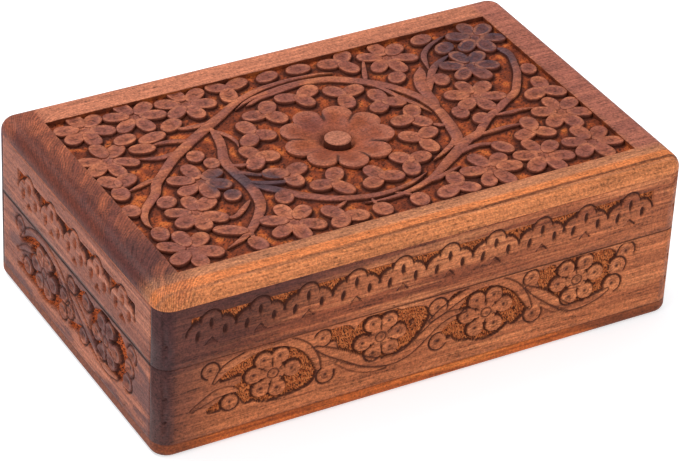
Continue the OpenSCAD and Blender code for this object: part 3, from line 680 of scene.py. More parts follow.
def add_petal(bm, layers, middle, heading, half_l, half_w, top, pear=0.0, dish=0.4):
    """One petal of these half sizes at a middle and heading; pear narrows its inner end, dish hollows it."""
    ground, shade_and_cuts, along, aside = layers
    first = len(bm.verts)
    bm.from_mesh(PETAL)
    bm.verts.ensure_lookup_table()
    c, s = math.cos(heading), math.sin(heading)
    PETALS_SET.append((middle[0], middle[1], heading, half_l, half_w))
    lean = random.uniform(-0.2, 0.2)
    tip = random.uniform(-0.14, 0.14)
    for v in bm.verts[first:]:
        x, y, z = v.co
        r = min(1.0, math.hypot(x, y))
        foot, rim = z < -0.5, r > RIM_SHARE
        narrow = 1.0 - pear * 0.5 * (1 - x) * (1 - 0.35 * (1 - x))
        u = x * half_l
        w = y * half_w * narrow
        round_off = RIM_DROP if rim else 0.0
        height = top - round_off - dish * (1 - r * r) ** 1.5 * (0.8 + 0.3 * x) + lean * y + tip * x
        v.co = (min(max(middle[0] + u * c - w * s, PANEL[0] - OVERLAP), PANEL[1] + OVERLAP),
                min(max(middle[1] + u * s + w * c, PANEL[2] - OVERLAP), PANEL[3] + OVERLAP),
                FOOT_Z if foot else height)
        # Painted shade at the foot of the petal's side and a little on its rim
        v[ground] = 0.5 if foot else (0.1 if rim else 0.0)
        v[shade_and_cuts] = 0.8 if foot else (0.26 if rim else 0.0)
        v[along], v[aside] = x + MARK, y + MARK


def vertex_layers(bm, *names):
    """Numbers that a mesh carries to its material as attributes."""
    return tuple(bm.verts.layers.float.new(name) for name in names)


def carve_flowers():
    """The small flowers, buds and leaves, one petal at a time."""
    bm = bmesh.new()
    layers = vertex_layers(bm, "ground", "shade_and_cuts", "petal_along", "petal_aside")
    for (cx, cy), headings in SMALL_FLOWERS:
        level = CARVE_TOP + random.uniform(-0.12, 0.12)
        for degrees in headings:
            a = math.radians(degrees)
            half = (PETAL_REACH + random.uniform(-0.4, 0.4) - PETAL_START) / 2
            wide = PETAL_HALF_W + random.uniform(-0.2, 0.15)
            middle = (cx + (PETAL_START + half) * math.cos(a), cy + (PETAL_START + half) * math.sin(a))
            add_petal(bm, layers, middle, a, half, wide, level + random.uniform(-0.18, 0.12), pear=0.6)
        add_petal(bm, layers, (cx, cy), random.uniform(0, 6), BERRY_R, BERRY_R, level - 0.35, dish=0.25)
    for petals in BUDS:
        mx, my = (sum(p[i] for p in petals) / len(petals) for i in (0, 1))
        level = CARVE_TOP + random.uniform(-0.12, 0.12)
        for px, py in petals:
            a = math.atan2(py - my, px - mx)
            away = math.hypot(px - mx, py - my)
            half_l = BUD_HALF_L + random.uniform(-0.2, 0.2)
            back = min(0.5, away * 0.1)
            middle = (px - back * math.cos(a), py - back * math.sin(a))
            top = level + random.uniform(-0.08, 0.08)
            add_petal(bm, layers, middle, a, half_l, BUD_HALF_W, top, pear=0.42, dish=0.45)
    for x, y, degrees, half_l, half_w in LEAVES:
        add_petal(bm, layers, (x, y), math.radians(degrees), LEAF_GROWS_L * half_l, LEAF_GROWS_W * half_w,
                  CARVE_TOP + random.uniform(-0.15, 0.1), pear=0.2, dish=0.5)
    piece("carved_petals", bm, PANEL_WOOD, "lid")


# Cross-section of a stem: sideways share of the half width, and drop below its ridge; the ends are its foot
STEM_PROFILE = [(-1.06, 3.0), (-1.0, 0.42), (-0.9, 0.26), (-0.45, 0.05), (0.0, 0.0),
                (0.45, 0.1), (0.9, 0.34), (1.0, 0.5), (1.06, 3.0)]
# Stems as wide as STEM_FULL keep the share STEM_SLIM of their listed half width, and thinner ones less
STEM_FULL, STEM_SLIM = 2.55, 0.78
# Creases steeper than this many degrees stay crisp: on the vines, on the large flower, on the lid's board
VINE_CREASE, BLOOM_CREASE, BOARD_CREASE = 38, 50, 35


def carve_vines():
    """The vines, as bands that taper at both ends. They lie at seven slightly different levels, so that
    no two tops coincide where they cross."""
    bm = bmesh.new()
    ground, shade_and_cuts = vertex_layers(bm, "ground", "shade_and_cuts")
    for number, points in enumerate(VINES):
        path = smooth_path(points, 5)
        level = CARVE_TOP - 0.02 - 0.035 * (number % 7)
        across = len(STEM_PROFILE) - 1
        strip = bmesh.ops.create_grid(bm, x_segments=len(path) - 1, y_segments=across, size=0.5)["verts"]
        DISCS_SET.extend(tuple(p) for p in path[1:-1])
        way = np.gradient(path[:, :2], axis=0)
        way /= np.linalg.norm(way, axis=1)[:, None]
        last = len(path) - 1
        for v in strip:
            i = round((v.co.x + 0.5) * last)
            j = round((v.co.y + 0.5) * across)
            side, drop = STEM_PROFILE[j]
            x, y, half = path[i]
            taper = min(1.0, 0.06 + (min(i, last - i) / 5.0) ** 0.7)
            half *= STEM_SLIM * min(1.05, half / STEM_FULL) ** 0.4 * taper
            foot = drop > 2
            z = FOOT_Z if foot else level - drop * min(1.0, half / 2) - 0.25 * (1 - taper)
            z += 0.0 if foot else 0.08 * noise.noise(Vector((x * 0.3, y * 0.3, number)))
            v.co = (x - way[i][1] * side * half, y + way[i][0] * side * half, z)
            # Painted shade at the foot of the stem's sides and a little on its edges
            v[ground] = 0.6 if foot else (0.12 if abs(side) > 0.95 else 0.0)
            v[shade_and_cuts] = 0.75 if foot else (0.2 if abs(side) > 0.95 else 0.0)
    face_up(bm)
    sharp_by_angle(piece("carved_vines", bm, PANEL_WOOD, "lid"), VINE_CREASE)


# The large flower: its middle, the directions of its petals, the distance and radius of their round ends,
# and its reach between them
BLOOM = (-0.8, 0.5)
BLOOM_HEADINGS = [math.radians(d) for d in (105, 62, 21, -14, -57, -98, -139, -177, 142)]
BLOOM_RING, BLOOM_PETAL = 15.2, 5.6
BLOOM_WAIST = 11.5
# Its heart, and the moat round its knob: depth, radius of the floor and width of the slope round that
HEART_DEEP, HEART_R, HEART_SLOPE = 2.9, 3.5, 10.5
MOAT_DEEP, MOAT_R, MOAT_SLOPE = 1.0, 5.2, 1.8
# Depth of the hollow along each petal, and of the creases between petals
DISH_DEEP, CREASE_DEEP = 1.05, 0.4
# Its faces round and outwards, and where along its rows the rounding, edge, side and foot begin
BLOOM_FACES = (216, 26)
ROUND_FROM, EDGE_AT, SIDE_FROM, FOOT_FROM = 0.9, 0.96, 0.965, 0.985
# Its knob: middle, radius, height, corners of its outline and crown
BOSS, BOSS_R, BOSS_TALL = (-1.3, -0.4), 5.0, 4.3
BOSS_TURNS, BOSS_CROWN = 40, 0.16


def turn_from(a, b):
    """The angle from b to a, at most half a turn either way."""
    return (a - b + math.pi) % (2 * math.pi) - math.pi


def bloom_reach(theta):
    """How far the large flower's outline is from its middle in one direction."""
    reach = BLOOM_WAIST
    for a in BLOOM_HEADINGS:
        d = turn_from(theta, a)
        side = BLOOM_RING * math.sin(d)
        if abs(d) < 1.2 and abs(side) < BLOOM_PETAL:
            reach = max(reach, BLOOM_RING * math.cos(d) + math.sqrt(BLOOM_PETAL**2 - side**2))
    return reach


def carve_bloom():
    """The large flower: nine scalloped petals sinking to a dished heart."""
    bm = bmesh.new()
    ground, shade_and_cuts, glow, pale = vertex_layers(bm, "ground", "shade_and_cuts", "glow", "pale")
    bmesh.ops.create_grid(bm, x_segments=BLOOM_FACES[0], y_segments=BLOOM_FACES[1], size=0.5)
    for v in bm.verts:
        theta = (v.co.x + 0.5) * 2 * math.pi - math.pi
        share = v.co.y + 0.5
        reach = bloom_reach(theta)
        nearest = min(abs(turn_from(theta, a)) for a in BLOOM_HEADINGS)
        foot = share > FOOT_FROM
        ring = reach * min(1.0, share / EDGE_AT)
        z = CASE_H - 0.02 - HEART_DEEP * (1 - ease((ring - HEART_R) / HEART_SLOPE))
        gap = math.exp(-(((0.36 - nearest) * ring) / 0.55) ** 2) if ring > 6 else 0.0
        on_petal = ease((ring - 7) / 5.0) * (1 - ease((ring - 15) / 4.5))
        dish = math.exp(-(nearest * ring / 3.4) ** 2) * on_petal
        z -= CREASE_DEEP * gap * ease((ring - 9) / 5.0) + DISH_DEEP * dish
        z -= MOAT_DEEP * (1 - ease((ring - MOAT_R) / MOAT_SLOPE))
        z -= 0.3 * min(max(0.0, (share - ROUND_FROM) / 0.06), 1.0) ** 2
        if foot:
            z = FOOT_Z
            ring = reach * 0.985
        elif share > SIDE_FROM:
            ring = reach
            z -= 0.15
        v.co = (BLOOM[0] + ring * math.cos(theta), BLOOM[1] + ring * math.sin(theta), z)
        # Painted shade at the foot, in the creases between petals, in the hollows and round the heart; the
        # pale ring near the rim is a painted highlight
        heart = 1 - ease((ring - 5.5) / 6.0)
        crease = 0.62 * gap * ease((ring - 10) / 4.0)
        v[ground] = 0.6 if foot else 0.2 * heart
        v[shade_and_cuts] = 0.7 if foot else 0.08 + crease + 0.2 * dish + 0.22 * heart
        v[glow] = 0.2 + 0.25 * dish + 0.6 * heart * (0.55 + 0.45 * math.cos(theta + 0.9))
        v[pale] = 0.26 * math.exp(-(((ring / reach - 0.92) / 0.1) ** 2))
    bmesh.ops.remove_doubles(bm, verts=bm.verts[:], dist=0.004)
    face_up(bm)
    sharp_by_angle(piece("carved_bloom", bm, PANEL_WOOD, "lid"), BLOOM_CREASE)


def turn_boss():
    """The round knob in the middle of the large flower."""
    bm = bmesh.new()
    ground, shade_and_cuts, pale = vertex_layers(bm, "ground", "shade_and_cuts", "pale")
    bmesh.ops.create_circle(bm, cap_ends=True, segments=BOSS_TURNS, radius=BOSS_R)
    walls = bmesh.ops.extrude_face_region(bm, geom=bm.faces[:])
    top = [v for v in walls["geom"] if isinstance(v, bmesh.types.BMVert)]
    bmesh.ops.translate(bm, verts=top, vec=(0, 0, BOSS_TALL))
    rim = [e for e in bm.edges if all(v.co.z > BOSS_TALL - 0.1 for v in e.verts)]
    bmesh.ops.bevel(bm, geom=rim, offset=0.45, segments=3, profile=0.5, affect="EDGES", material=-1)
    high = (f for f in bm.faces if f.calc_center_median().z > BOSS_TALL - 0.1)
    cap = max(high, key=lambda f: f.calc_area())
    for thickness in (1.2, 1.4):
        bmesh.ops.inset_region(bm, faces=[cap], thickness=thickness, use_even_offset=True)
    bmesh.ops.poke(bm, faces=[cap])
    for v in bm.verts:
        r = math.hypot(v.co.x, v.co.y)
        low = v.co.z < 1
        wall = not low and v.co.z < BOSS_TALL - 0.4
        flute = round(math.degrees(math.atan2(v.co.y, v.co.x)) / (360 / BOSS_TURNS)) % 2
        # Painted shade at the knob's foot and on its side, striped with the flutes; its top is paler
        v[ground] = 0.85 if low else (0.5 if wall else 0.0)
        v[shade_and_cuts] = 0.9 if low else (0.5 + 0.3 * flute if wall else 0.0)
        v[pale] = 0.0 if low else 0.6
        if not low:
            v.co.z += BOSS_CROWN * (1 - (r / BOSS_R) ** 2)
            v.co.x *= 0.97
            v.co.y *= 0.97
    bmesh.ops.recalc_face_normals(bm, faces=bm.faces[:])
    bmesh.ops.translate(bm, verts=bm.verts[:], vec=(BOSS[0], BOSS[1], CASE_H - BOSS_TALL - BOSS_CROWN))
    sharp_by_angle(piece("carved_boss", bm, PANEL_WOOD, "lid"), BLOOM_CREASE)


# A distance at which no shape casts painted shade on the ground
FAR = 9.0
# How much deeper the ground lies under the large flower, and how far from its middle it starts to
UNDER_BLOOM, UNDER_BLOOM_R = 2.75, 11.8
# How far the ground reaches under the panel's edges, and its faces along and across
LAP = 0.3
GROUND_FACES = (262, 152)
# How deep the punch sinks it, and how far its faces' corners are shaken
PUNCH_DEEP, SHAKE = 0.34, 0.2
# The painted shade beside the shapes lies this much further to the left and to the front, and is this wide
PAINTED_SHADE_SHIFT, PAINTED_SHADE_WIDTH = (0.15, 0.45), 0.9


def clear_of_shapes(x, y):
    """Rough distance from places on the ground to the nearest petal or vine."""
    away = np.full(x.shape, FAR)
    for px, py, heading, half_l, half_w in PETALS_SET:
        c, s = math.cos(heading), math.sin(heading)
        r = np.hypot(((x - px) * c + (y - py) * s) / half_l, ((y - py) * c - (x - px) * s) / half_w)
        away = np.minimum(away, (r - 1) * min(half_l, half_w))
    for px, py, half in DISCS_SET:
        away = np.minimum(away, np.hypot(x - px, y - py) - half * 0.8)
    return away


def punch_ground():
    """The sunk ground of the panel, stippled all over with a punch, with painted shade beside the raised
    shapes.
    """
    x0, x1, y0, y1 = PANEL
    bm = bmesh.new()
    ground, shade_and_cuts = vertex_layers(bm, "ground", "shade_and_cuts")
    bmesh.ops.create_grid(bm, x_segments=GROUND_FACES[0], y_segments=GROUND_FACES[1], size=0.5)
    spread = random.Random(3)
    flat = np.array([v.co for v in bm.verts])
    across = x0 - LAP + (flat[:, 0] + 0.5) * (x1 - x0 + 2 * LAP)
    back = y0 - LAP + (flat[:, 1] + 0.5) * (y1 - y0 + 2 * LAP)
    away = clear_of_shapes(across + PAINTED_SHADE_SHIFT[0], back + PAINTED_SHADE_SHIFT[1])
    painted_shade = np.exp(-((np.maximum(away, 0) / PAINTED_SHADE_WIDTH) ** 2))
    for v, x, y, dark in zip(bm.verts, across, back, painted_shade):
        wave = noise.noise(Vector((x * 0.12, y * 0.12, 2.0)))
        pit = spread.random() ** 2
        lower = UNDER_BLOOM * ease(UNDER_BLOOM_R - math.hypot(x - BLOOM[0], y - BLOOM[1]))
        v.co = (x + spread.uniform(-SHAKE, SHAKE), y + spread.uniform(-SHAKE, SHAKE),
                FLOOR_Z - lower + 0.15 * wave - PUNCH_DEEP * pit)
        v[ground] = 1.0
        # Punch pits darker with depth, and painted shade beside the raised shapes
        v[shade_and_cuts] = max(0.7 * pit * pit, 0.62 * dark)
    piece("punched_ground", bm, PANEL_WOOD, "lid")


def pull_out(bm, face, by):
    """Extrudes one face along a vector and returns the moved face."""
    grown = bmesh.ops.extrude_face_region(bm, geom=[face])["geom"]
    bmesh.ops.delete(bm, geom=[face], context="FACES_ONLY")
    bmesh.ops.translate(bm, verts=[g for g in grown if isinstance(g, bmesh.types.BMVert)], vec=by)
    return [g for g in grown if isinstance(g, bmesh.types.BMFace)][0]


def rounded_plan(bm, length, width, radius, z):
    """One face with rounded corners, facing up."""
    bmesh.ops.create_grid(bm, x_segments=1, y_segments=1, size=0.5)
    bmesh.ops.scale(bm, vec=(length, width, 1), verts=bm.verts[:])
    bmesh.ops.translate(bm, vec=(0, 0, z), verts=bm.verts[:])
    bmesh.ops.bevel(bm, geom=bm.verts[:], offset=radius, segments=10, profile=0.5,
                    affect="VERTICES", material=-1)
    return bm.faces[:][0]


# Steps of the rounded edge, and cuts along each edge of the recess
ROUND_STEPS, RECESS_CUTS = 9, 90
# How far the recess reaches below its ground, and how far its edges wander
RECESS_SPARE, RECESS_WANDER = 2.6, 0.22


def shape_top_board():
    """The lid's board: rounded over all round, with the panel sunk into it and a step below."""
    bm = bmesh.new()
    ground, shade_and_cuts = vertex_layers(bm, "ground", "shade_and_cuts")
    plan = rounded_plan(bm, CASE_L, CASE_W, CORNER_R, TOP_Z)
    rise = CASE_H - TOP_Z
    low = rise - TOP_ROUND
    top = pull_out(bm, plan, (0, 0, low))
    for k in range(ROUND_STEPS):
        a0, a1 = math.pi / 2 * k / ROUND_STEPS, math.pi / 2 * (k + 1) / ROUND_STEPS
        bmesh.ops.inset_region(bm, faces=[top], thickness=TOP_ROUND * (math.cos(a0) - math.cos(a1)),
                               depth=0.0, use_even_offset=True)
        bmesh.ops.translate(bm, verts=top.verts[:], vec=(0, 0, (rise - low) * (math.sin(a1) - math.sin(a0))))

    def on_top():
        return [f for f in bm.faces if f.normal.z > 0.999 and f.calc_center_median().z > CASE_H - 0.01]

    x0, x1, y0, y1 = PANEL
    for x in (x0, x1):
        score(bm, on_top(), (x, 0, 0), (1, 0, 0), 1e-5)
    for y in (y0, y1):
        score(bm, on_top(), (0, y, 0), (0, 1, 0), 1e-5)
    inner = min(on_top(), key=lambda f: f.calc_center_median().xy.length)
    bmesh.ops.subdivide_edges(bm, edges=inner.edges[:], cuts=RECESS_CUTS)
    inner = max((f for f in bm.faces if f.normal.z > 0.999), key=lambda f: len(f.verts))
    for v in inner.verts:
        wander = noise.noise(Vector((v.co.x * 0.35, v.co.y * 0.35, 4.0))) * RECESS_WANDER
        on_side = abs(v.co.x - x0) < 0.01 or abs(v.co.x - x1) < 0.01
        on_end = abs(v.co.y - y0) < 0.01 or abs(v.co.y - y1) < 0.01
        if on_side != on_end:
            v.co += Vector((wander, 0, 0)) if on_side else Vector((0, wander, 0))
    for drop in (0.25, CASE_H - FLOOR_Z + RECESS_SPARE):
        inner = pull_out(bm, inner, (0, 0, -drop))
        # The sides of the recess take the ground colour, with painted shade
        for v in inner.verts:
            v[ground] = 0.9
            v[shade_and_cuts] = 0.35
    rim = [e for e in bm.edges if len(e.link_faces) == 1]
    under = bmesh.ops.contextual_create(bm, geom=rim)["faces"]
    bmesh.ops.inset_region(bm, faces=under, thickness=CORNER_R / 2, use_even_offset=True)
    half_l, half_w = CASE_L / 2 - WALL_T - STEP_GAP, CASE_W / 2 - WALL_T - STEP_GAP
    for v in under[0].verts:
        v.co.x, v.co.y = math.copysign(half_l, v.co.x), math.copysign(half_w, v.co.y)
    bmesh.ops.remove_doubles(bm, verts=under[0].verts[:], dist=0.01)
    step = max((f for f in bm.faces if all(abs(abs(v.co.x) - half_l) < 0.01 for v in f.verts)),
               key=lambda f: f.calc_area())
    pull_out(bm, step, (0, 0, -TOP_STEP))
    bmesh.ops.recalc_face_normals(bm, faces=bm.faces[:])
    made = piece("carved_top_board", bm, TOP_WOOD, "lid")
    sharp_by_angle(made, BOARD_CREASE)
    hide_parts("lid_top_board")


# ---- carving of the walls ----

# A three-cornered chip: half its width and its height
NICK_HALF_W, NICK_H = 2.6, 3.0
# A crest of the lid's walls: its dome's middle and radius; its shoulders' middle, radius, place and end
DOME_Z, DOME_R = 53.5, 4.0
SHOULDER_Z, SHOULDER_R, SHOULDER_AT, SHOULDER_END = 49.0, 4.8, 4.6, 9.4
# Upper edge of the stippled strip
STRIP_TOP = 56.5
# Where the crests stand along the front and along the sides of the lid
FRONT_CRESTS = (-83.7, -64.9, -46.3, -27.4, -8.9, 10.1, 28.9, 48.2, 66.6, 85.6)
SIDE_CRESTS = (-40.3, -21.4, -2.4, 16.1, 35.6)


class Relief:
    """Depth, ground and painted shade over a grid of places, u along the wall and z upwards, in millimetres.
    The painted shade lies in the cuts and on the sides of sunk ground. Shapes are given by their signed
    distance, away, which is below 0 inside them."""

    def __init__(self, u, z, seed):
        self.u, self.z = u, z
        self.raised = np.zeros_like(u)
        self.sunk = np.zeros_like(u)
        self.cut = np.zeros_like(u)
        self.shade_and_cuts = np.zeros_like(u)
        self.crown = np.zeros_like(u)
        self.stain = np.zeros_like(u)
        self.random = np.random.default_rng(seed)

    def outline(self, away, width=0.5, depth=1.0, only=None):
        """A knife cut just outside a shape whose edge is where away is 0, with painted shade in it."""
        mark = np.where(away > 0, np.exp(-((away - 0.1) / width) ** 2), np.exp(-(away / 0.2) ** 2))
        if only is not None:
            mark = mark * only
        self.cut = np.maximum(self.cut, mark * depth)
        self.shade_and_cuts = np.maximum(self.shade_and_cuts, mark * 0.9 * min(1.0, depth + 0.1))

    def raise_shape(self, away):
        """Leaves a shape standing in ground that is sunk elsewhere."""
        self.raised = np.maximum(self.raised, ease(0.5 - away / 0.5))

    def petal(self, cu, cz, r, arc=None):
        """A round petal with a gouged middle; arc is the direction and half width of its cut outline."""
        d = np.hypot(self.u - cu, self.z - cz)
        only = None
        if arc is not None:
            turn = np.degrees(np.arctan2(self.z - cz, self.u - cu))
            off = (turn - arc[0] + 180) % 360 - 180
            only = ease((arc[1] - np.abs(off)) / 25)
        self.outline(d - r, only=only)
        self.raise_shape(d - r)
        self.pit(self.u - cu, self.z - cz, r, math.radians(arc[0] if arc else 90))

    def flower(self, cu, cz, headings, ring, r):
        """Round petals that open to a ringed middle, with a knife line between each two; the lines, the ring
        and the middle get painted shade.
        """
        du, dz = self.u - cu, (self.z - cz) / 0.94
        heart = np.hypot(du, dz)
        self.sink(heart - 12.4)
        away = heart - 4.8
        turns = [math.radians(degrees) for degrees in headings]
        for a in turns:
            pu, pz = du - ring * math.cos(a), dz - ring * math.sin(a)
            away = np.minimum(away, np.hypot(pu, pz) - r)
            self.pit(pu, pz, r, a)
        self.outline(away, width=0.48)
        self.raise_shape(away)
        around = sorted(a % (2 * math.pi) for a in turns)
        for a, b in zip(around, around[1:] + [around[0] + 2 * math.pi]):
            half = (a + b) / 2
            out = du * math.cos(half) + dz * math.sin(half)
            side = np.abs(dz * math.cos(half) - du * math.sin(half))
            notch = ring * math.cos((b - a) / 2)
            mark = np.exp(-((side / 0.32) ** 2)) * ease((out - 2.6) / 0.8) * ease((notch + 1 - out) / 0.8)
            self.cut = np.maximum(self.cut, mark * 0.7)
            self.shade_and_cuts = np.maximum(self.shade_and_cuts, mark * 0.75)
        heart_ring = np.exp(-(((heart - 2.1) / 0.35) ** 2))
        self.cut = np.maximum(self.cut, 0.45 * heart_ring)
        self.shade_and_cuts = np.maximum(self.shade_and_cuts, 0.7 * heart_ring)
        self.shade_and_cuts = np.maximum(self.shade_and_cuts, 0.5 * np.exp(-((heart / 0.9) ** 2)))

    def pit(self, pu, pz, r, a):
        """The hollow of a petal, with a thumbnail cut that bends round its outer side; the cut and the middle
        get painted shade.
        """
        d = np.hypot(pu, pz)
        self.crown = np.maximum(self.crown, 0.65 * np.exp(-((d / (r * 0.55)) ** 2)))
        outward = (pu * math.cos(a) + pz * math.sin(a)) / (d + 0.01)
        arc = np.exp(-(((d - r * 0.42) / 0.3) ** 2)) * ease((outward + 0.3) / 0.8)
        self.cut = np.maximum(self.cut, arc * 0.35)
        self.shade_and_cuts = np.maximum(self.shade_and_cuts, np.maximum(arc * 0.5, 0.7 * np.exp(-((d / (r * 0.26)) ** 2))))

    def sink(self, away):
        """Sinks the ground inside a shape."""
        self.sunk = np.maximum(self.sunk, ease(0.5 - away / 1.0))

    def along(self, points):
        """Signed distance to a line whose points carry their own half width."""
        path = smooth_path(points, 4)
        best = np.full(self.u.shape, 1e3)
        for (u0, z0, w0), (u1, z1, w1) in zip(path[:-1], path[1:]):
            du, dz = u1 - u0, z1 - z0
            t = np.clip(((self.u - u0) * du + (self.z - z0) * dz) / (du * du + dz * dz + 1e-9), 0, 1)
            d = np.hypot(self.u - u0 - t * du, self.z - z0 - t * dz) - (w0 + (w1 - w0) * t)
            best = np.minimum(best, d)
        return best

    def vine(self, cut, points):
        """A raised band, outlined with a knife as strongly as cut says."""
        away = self.along(points)
        self.outline(away, depth=cut * 0.7)
        self.raise_shape(away)

    def hollow(self, points):
        """Sunk ground along a line."""
        self.sink(self.along(points))

    def slit(self, cu, cz, half_h, half_w, lean, rust):
        """A short upright gouge with painted shade at its bottom; rust leaves its bottom red-brown instead of
        dark.
        """
        half_w *= 1 + 0.4 * rust
        d = np.hypot((self.u - cu - lean * (self.z - cz)) / half_w, (self.z - cz) / half_h)
        mark = np.exp(-(d**4))
        self.cut = np.maximum(self.cut, mark * 1.1)
        self.shade_and_cuts = np.maximum(self.shade_and_cuts, mark * (1 - 0.85 * rust))
        self.stain = np.maximum(self.stain, mark * rust)

    def nick(self, cu, cz, rust):
        """A three-cornered chip with its flat side down, in painted shade that is darkest along its edges."""
        t = np.clip((self.z - cz) / NICK_H, 0, 1)
        to_edge = NICK_HALF_W * (1 - t) - np.abs(self.u - cu)
        inside = (self.z > cz) & (self.z < cz + NICK_H) & (to_edge > 0)
        slope = np.where(inside, 0.35 + 0.65 * t, 0.0)
        self.cut = np.maximum(self.cut, slope)
        self.shade_and_cuts = np.maximum(self.shade_and_cuts, np.where(inside, np.where(to_edge < 0.7, 0.75 - 0.3 * rust, 0.25), 0))
        self.stain = np.maximum(self.stain, np.where(inside, 0.7 * rust, 0))

    def result(self, banks):
        """Depth, ground and painted shade of all that was carved; banks is how much painted shade lies on the
        sides of sunk ground.
        """
        sunk = self.sunk * (1 - self.raised)
        stipple = self.random.random(self.u.shape)
        depth = sunk * (1.15 + 0.5 * stipple**2) + self.crown * self.raised
        depth = np.maximum(depth, self.cut * (1 + 0.35 * sunk))
        ground = np.maximum(sunk, self.stain)
        # Painted shade on the sloping sides of sunk ground
        bank = 4 * sunk * (1 - sunk)
        shade_and_cuts = np.clip(np.maximum(np.maximum(self.shade_and_cuts, sunk * 0.5 * stipple**2), bank * banks), 0, 1)
        return depth, ground, shade_and_cuts


def lid_band(relief, crests, drop, ends, rust):
    """Row of three-lobed crests under a stippled strip between two ends, lowered by a drop."""
    u, z = relief.u, relief.z + drop
    upper = np.full(u.shape, 30.0)
    for c in crests:
        d = np.abs(u - c)
        dome = np.where(d < DOME_R, DOME_Z + np.sqrt(np.maximum(0, DOME_R**2 - d**2)), 0)
        arm = np.clip((d - SHOULDER_AT) / SHOULDER_R, 0, 1)
        rise = SHOULDER_R * np.sqrt(np.maximum(0, 1 - arm**2))
        shoulder = np.where(d < SHOULDER_END, SHOULDER_Z + rise, 0)
        upper = np.maximum(upper, np.maximum(dome, shoulder))
        away = np.hypot(u - c, z - DOME_Z) - DOME_R
        relief.outline(away, depth=0.95, only=ease((z - 52.6) / 1.2))
        relief.slit(c, 52.4 - drop, 2.1, 0.75, 0.0, rust)
        relief.slit(c - 5.2, 48.2 - drop, 2.1, 0.8, 0.12, rust)
        relief.slit(c + 5.2, 48.4 - drop, 2.0, 0.8, 0.0, rust)
        relief.nick(c, 43.9 - drop, rust)
        side = (u - c - np.sign(u - c) * SHOULDER_AT) / SHOULDER_R
        lobe = np.hypot(side, (z - SHOULDER_Z) / SHOULDER_R) - 1
        outer = ease((d - 4.4) / 0.8) * ease((z - 48.6) / 1.0) * (d < 10.3)
        relief.outline(lobe * SHOULDER_R, depth=0.9, only=outer)
    inside = ease((u - ends[0]) / 0.5) * ease((ends[1] - u) / 0.5)
    strip = ease((z - upper - 0.1) / 0.4) * ease((STRIP_TOP - z) / 0.5) * inside * (upper > 40)
    relief.sunk = np.maximum(relief.sunk, strip)


def front_lid(relief):
    """The crests along the front of the lid."""
    lid_band(relief, FRONT_CRESTS, 0.0, (-91.5, 99.0), 0.0)


def side_lid(relief):
    """The crests along the sides of the lid, with rust-brown cuts."""
    lid_band(relief, SIDE_CRESTS, 2.2, (-50.2, 45.6), 0.8)


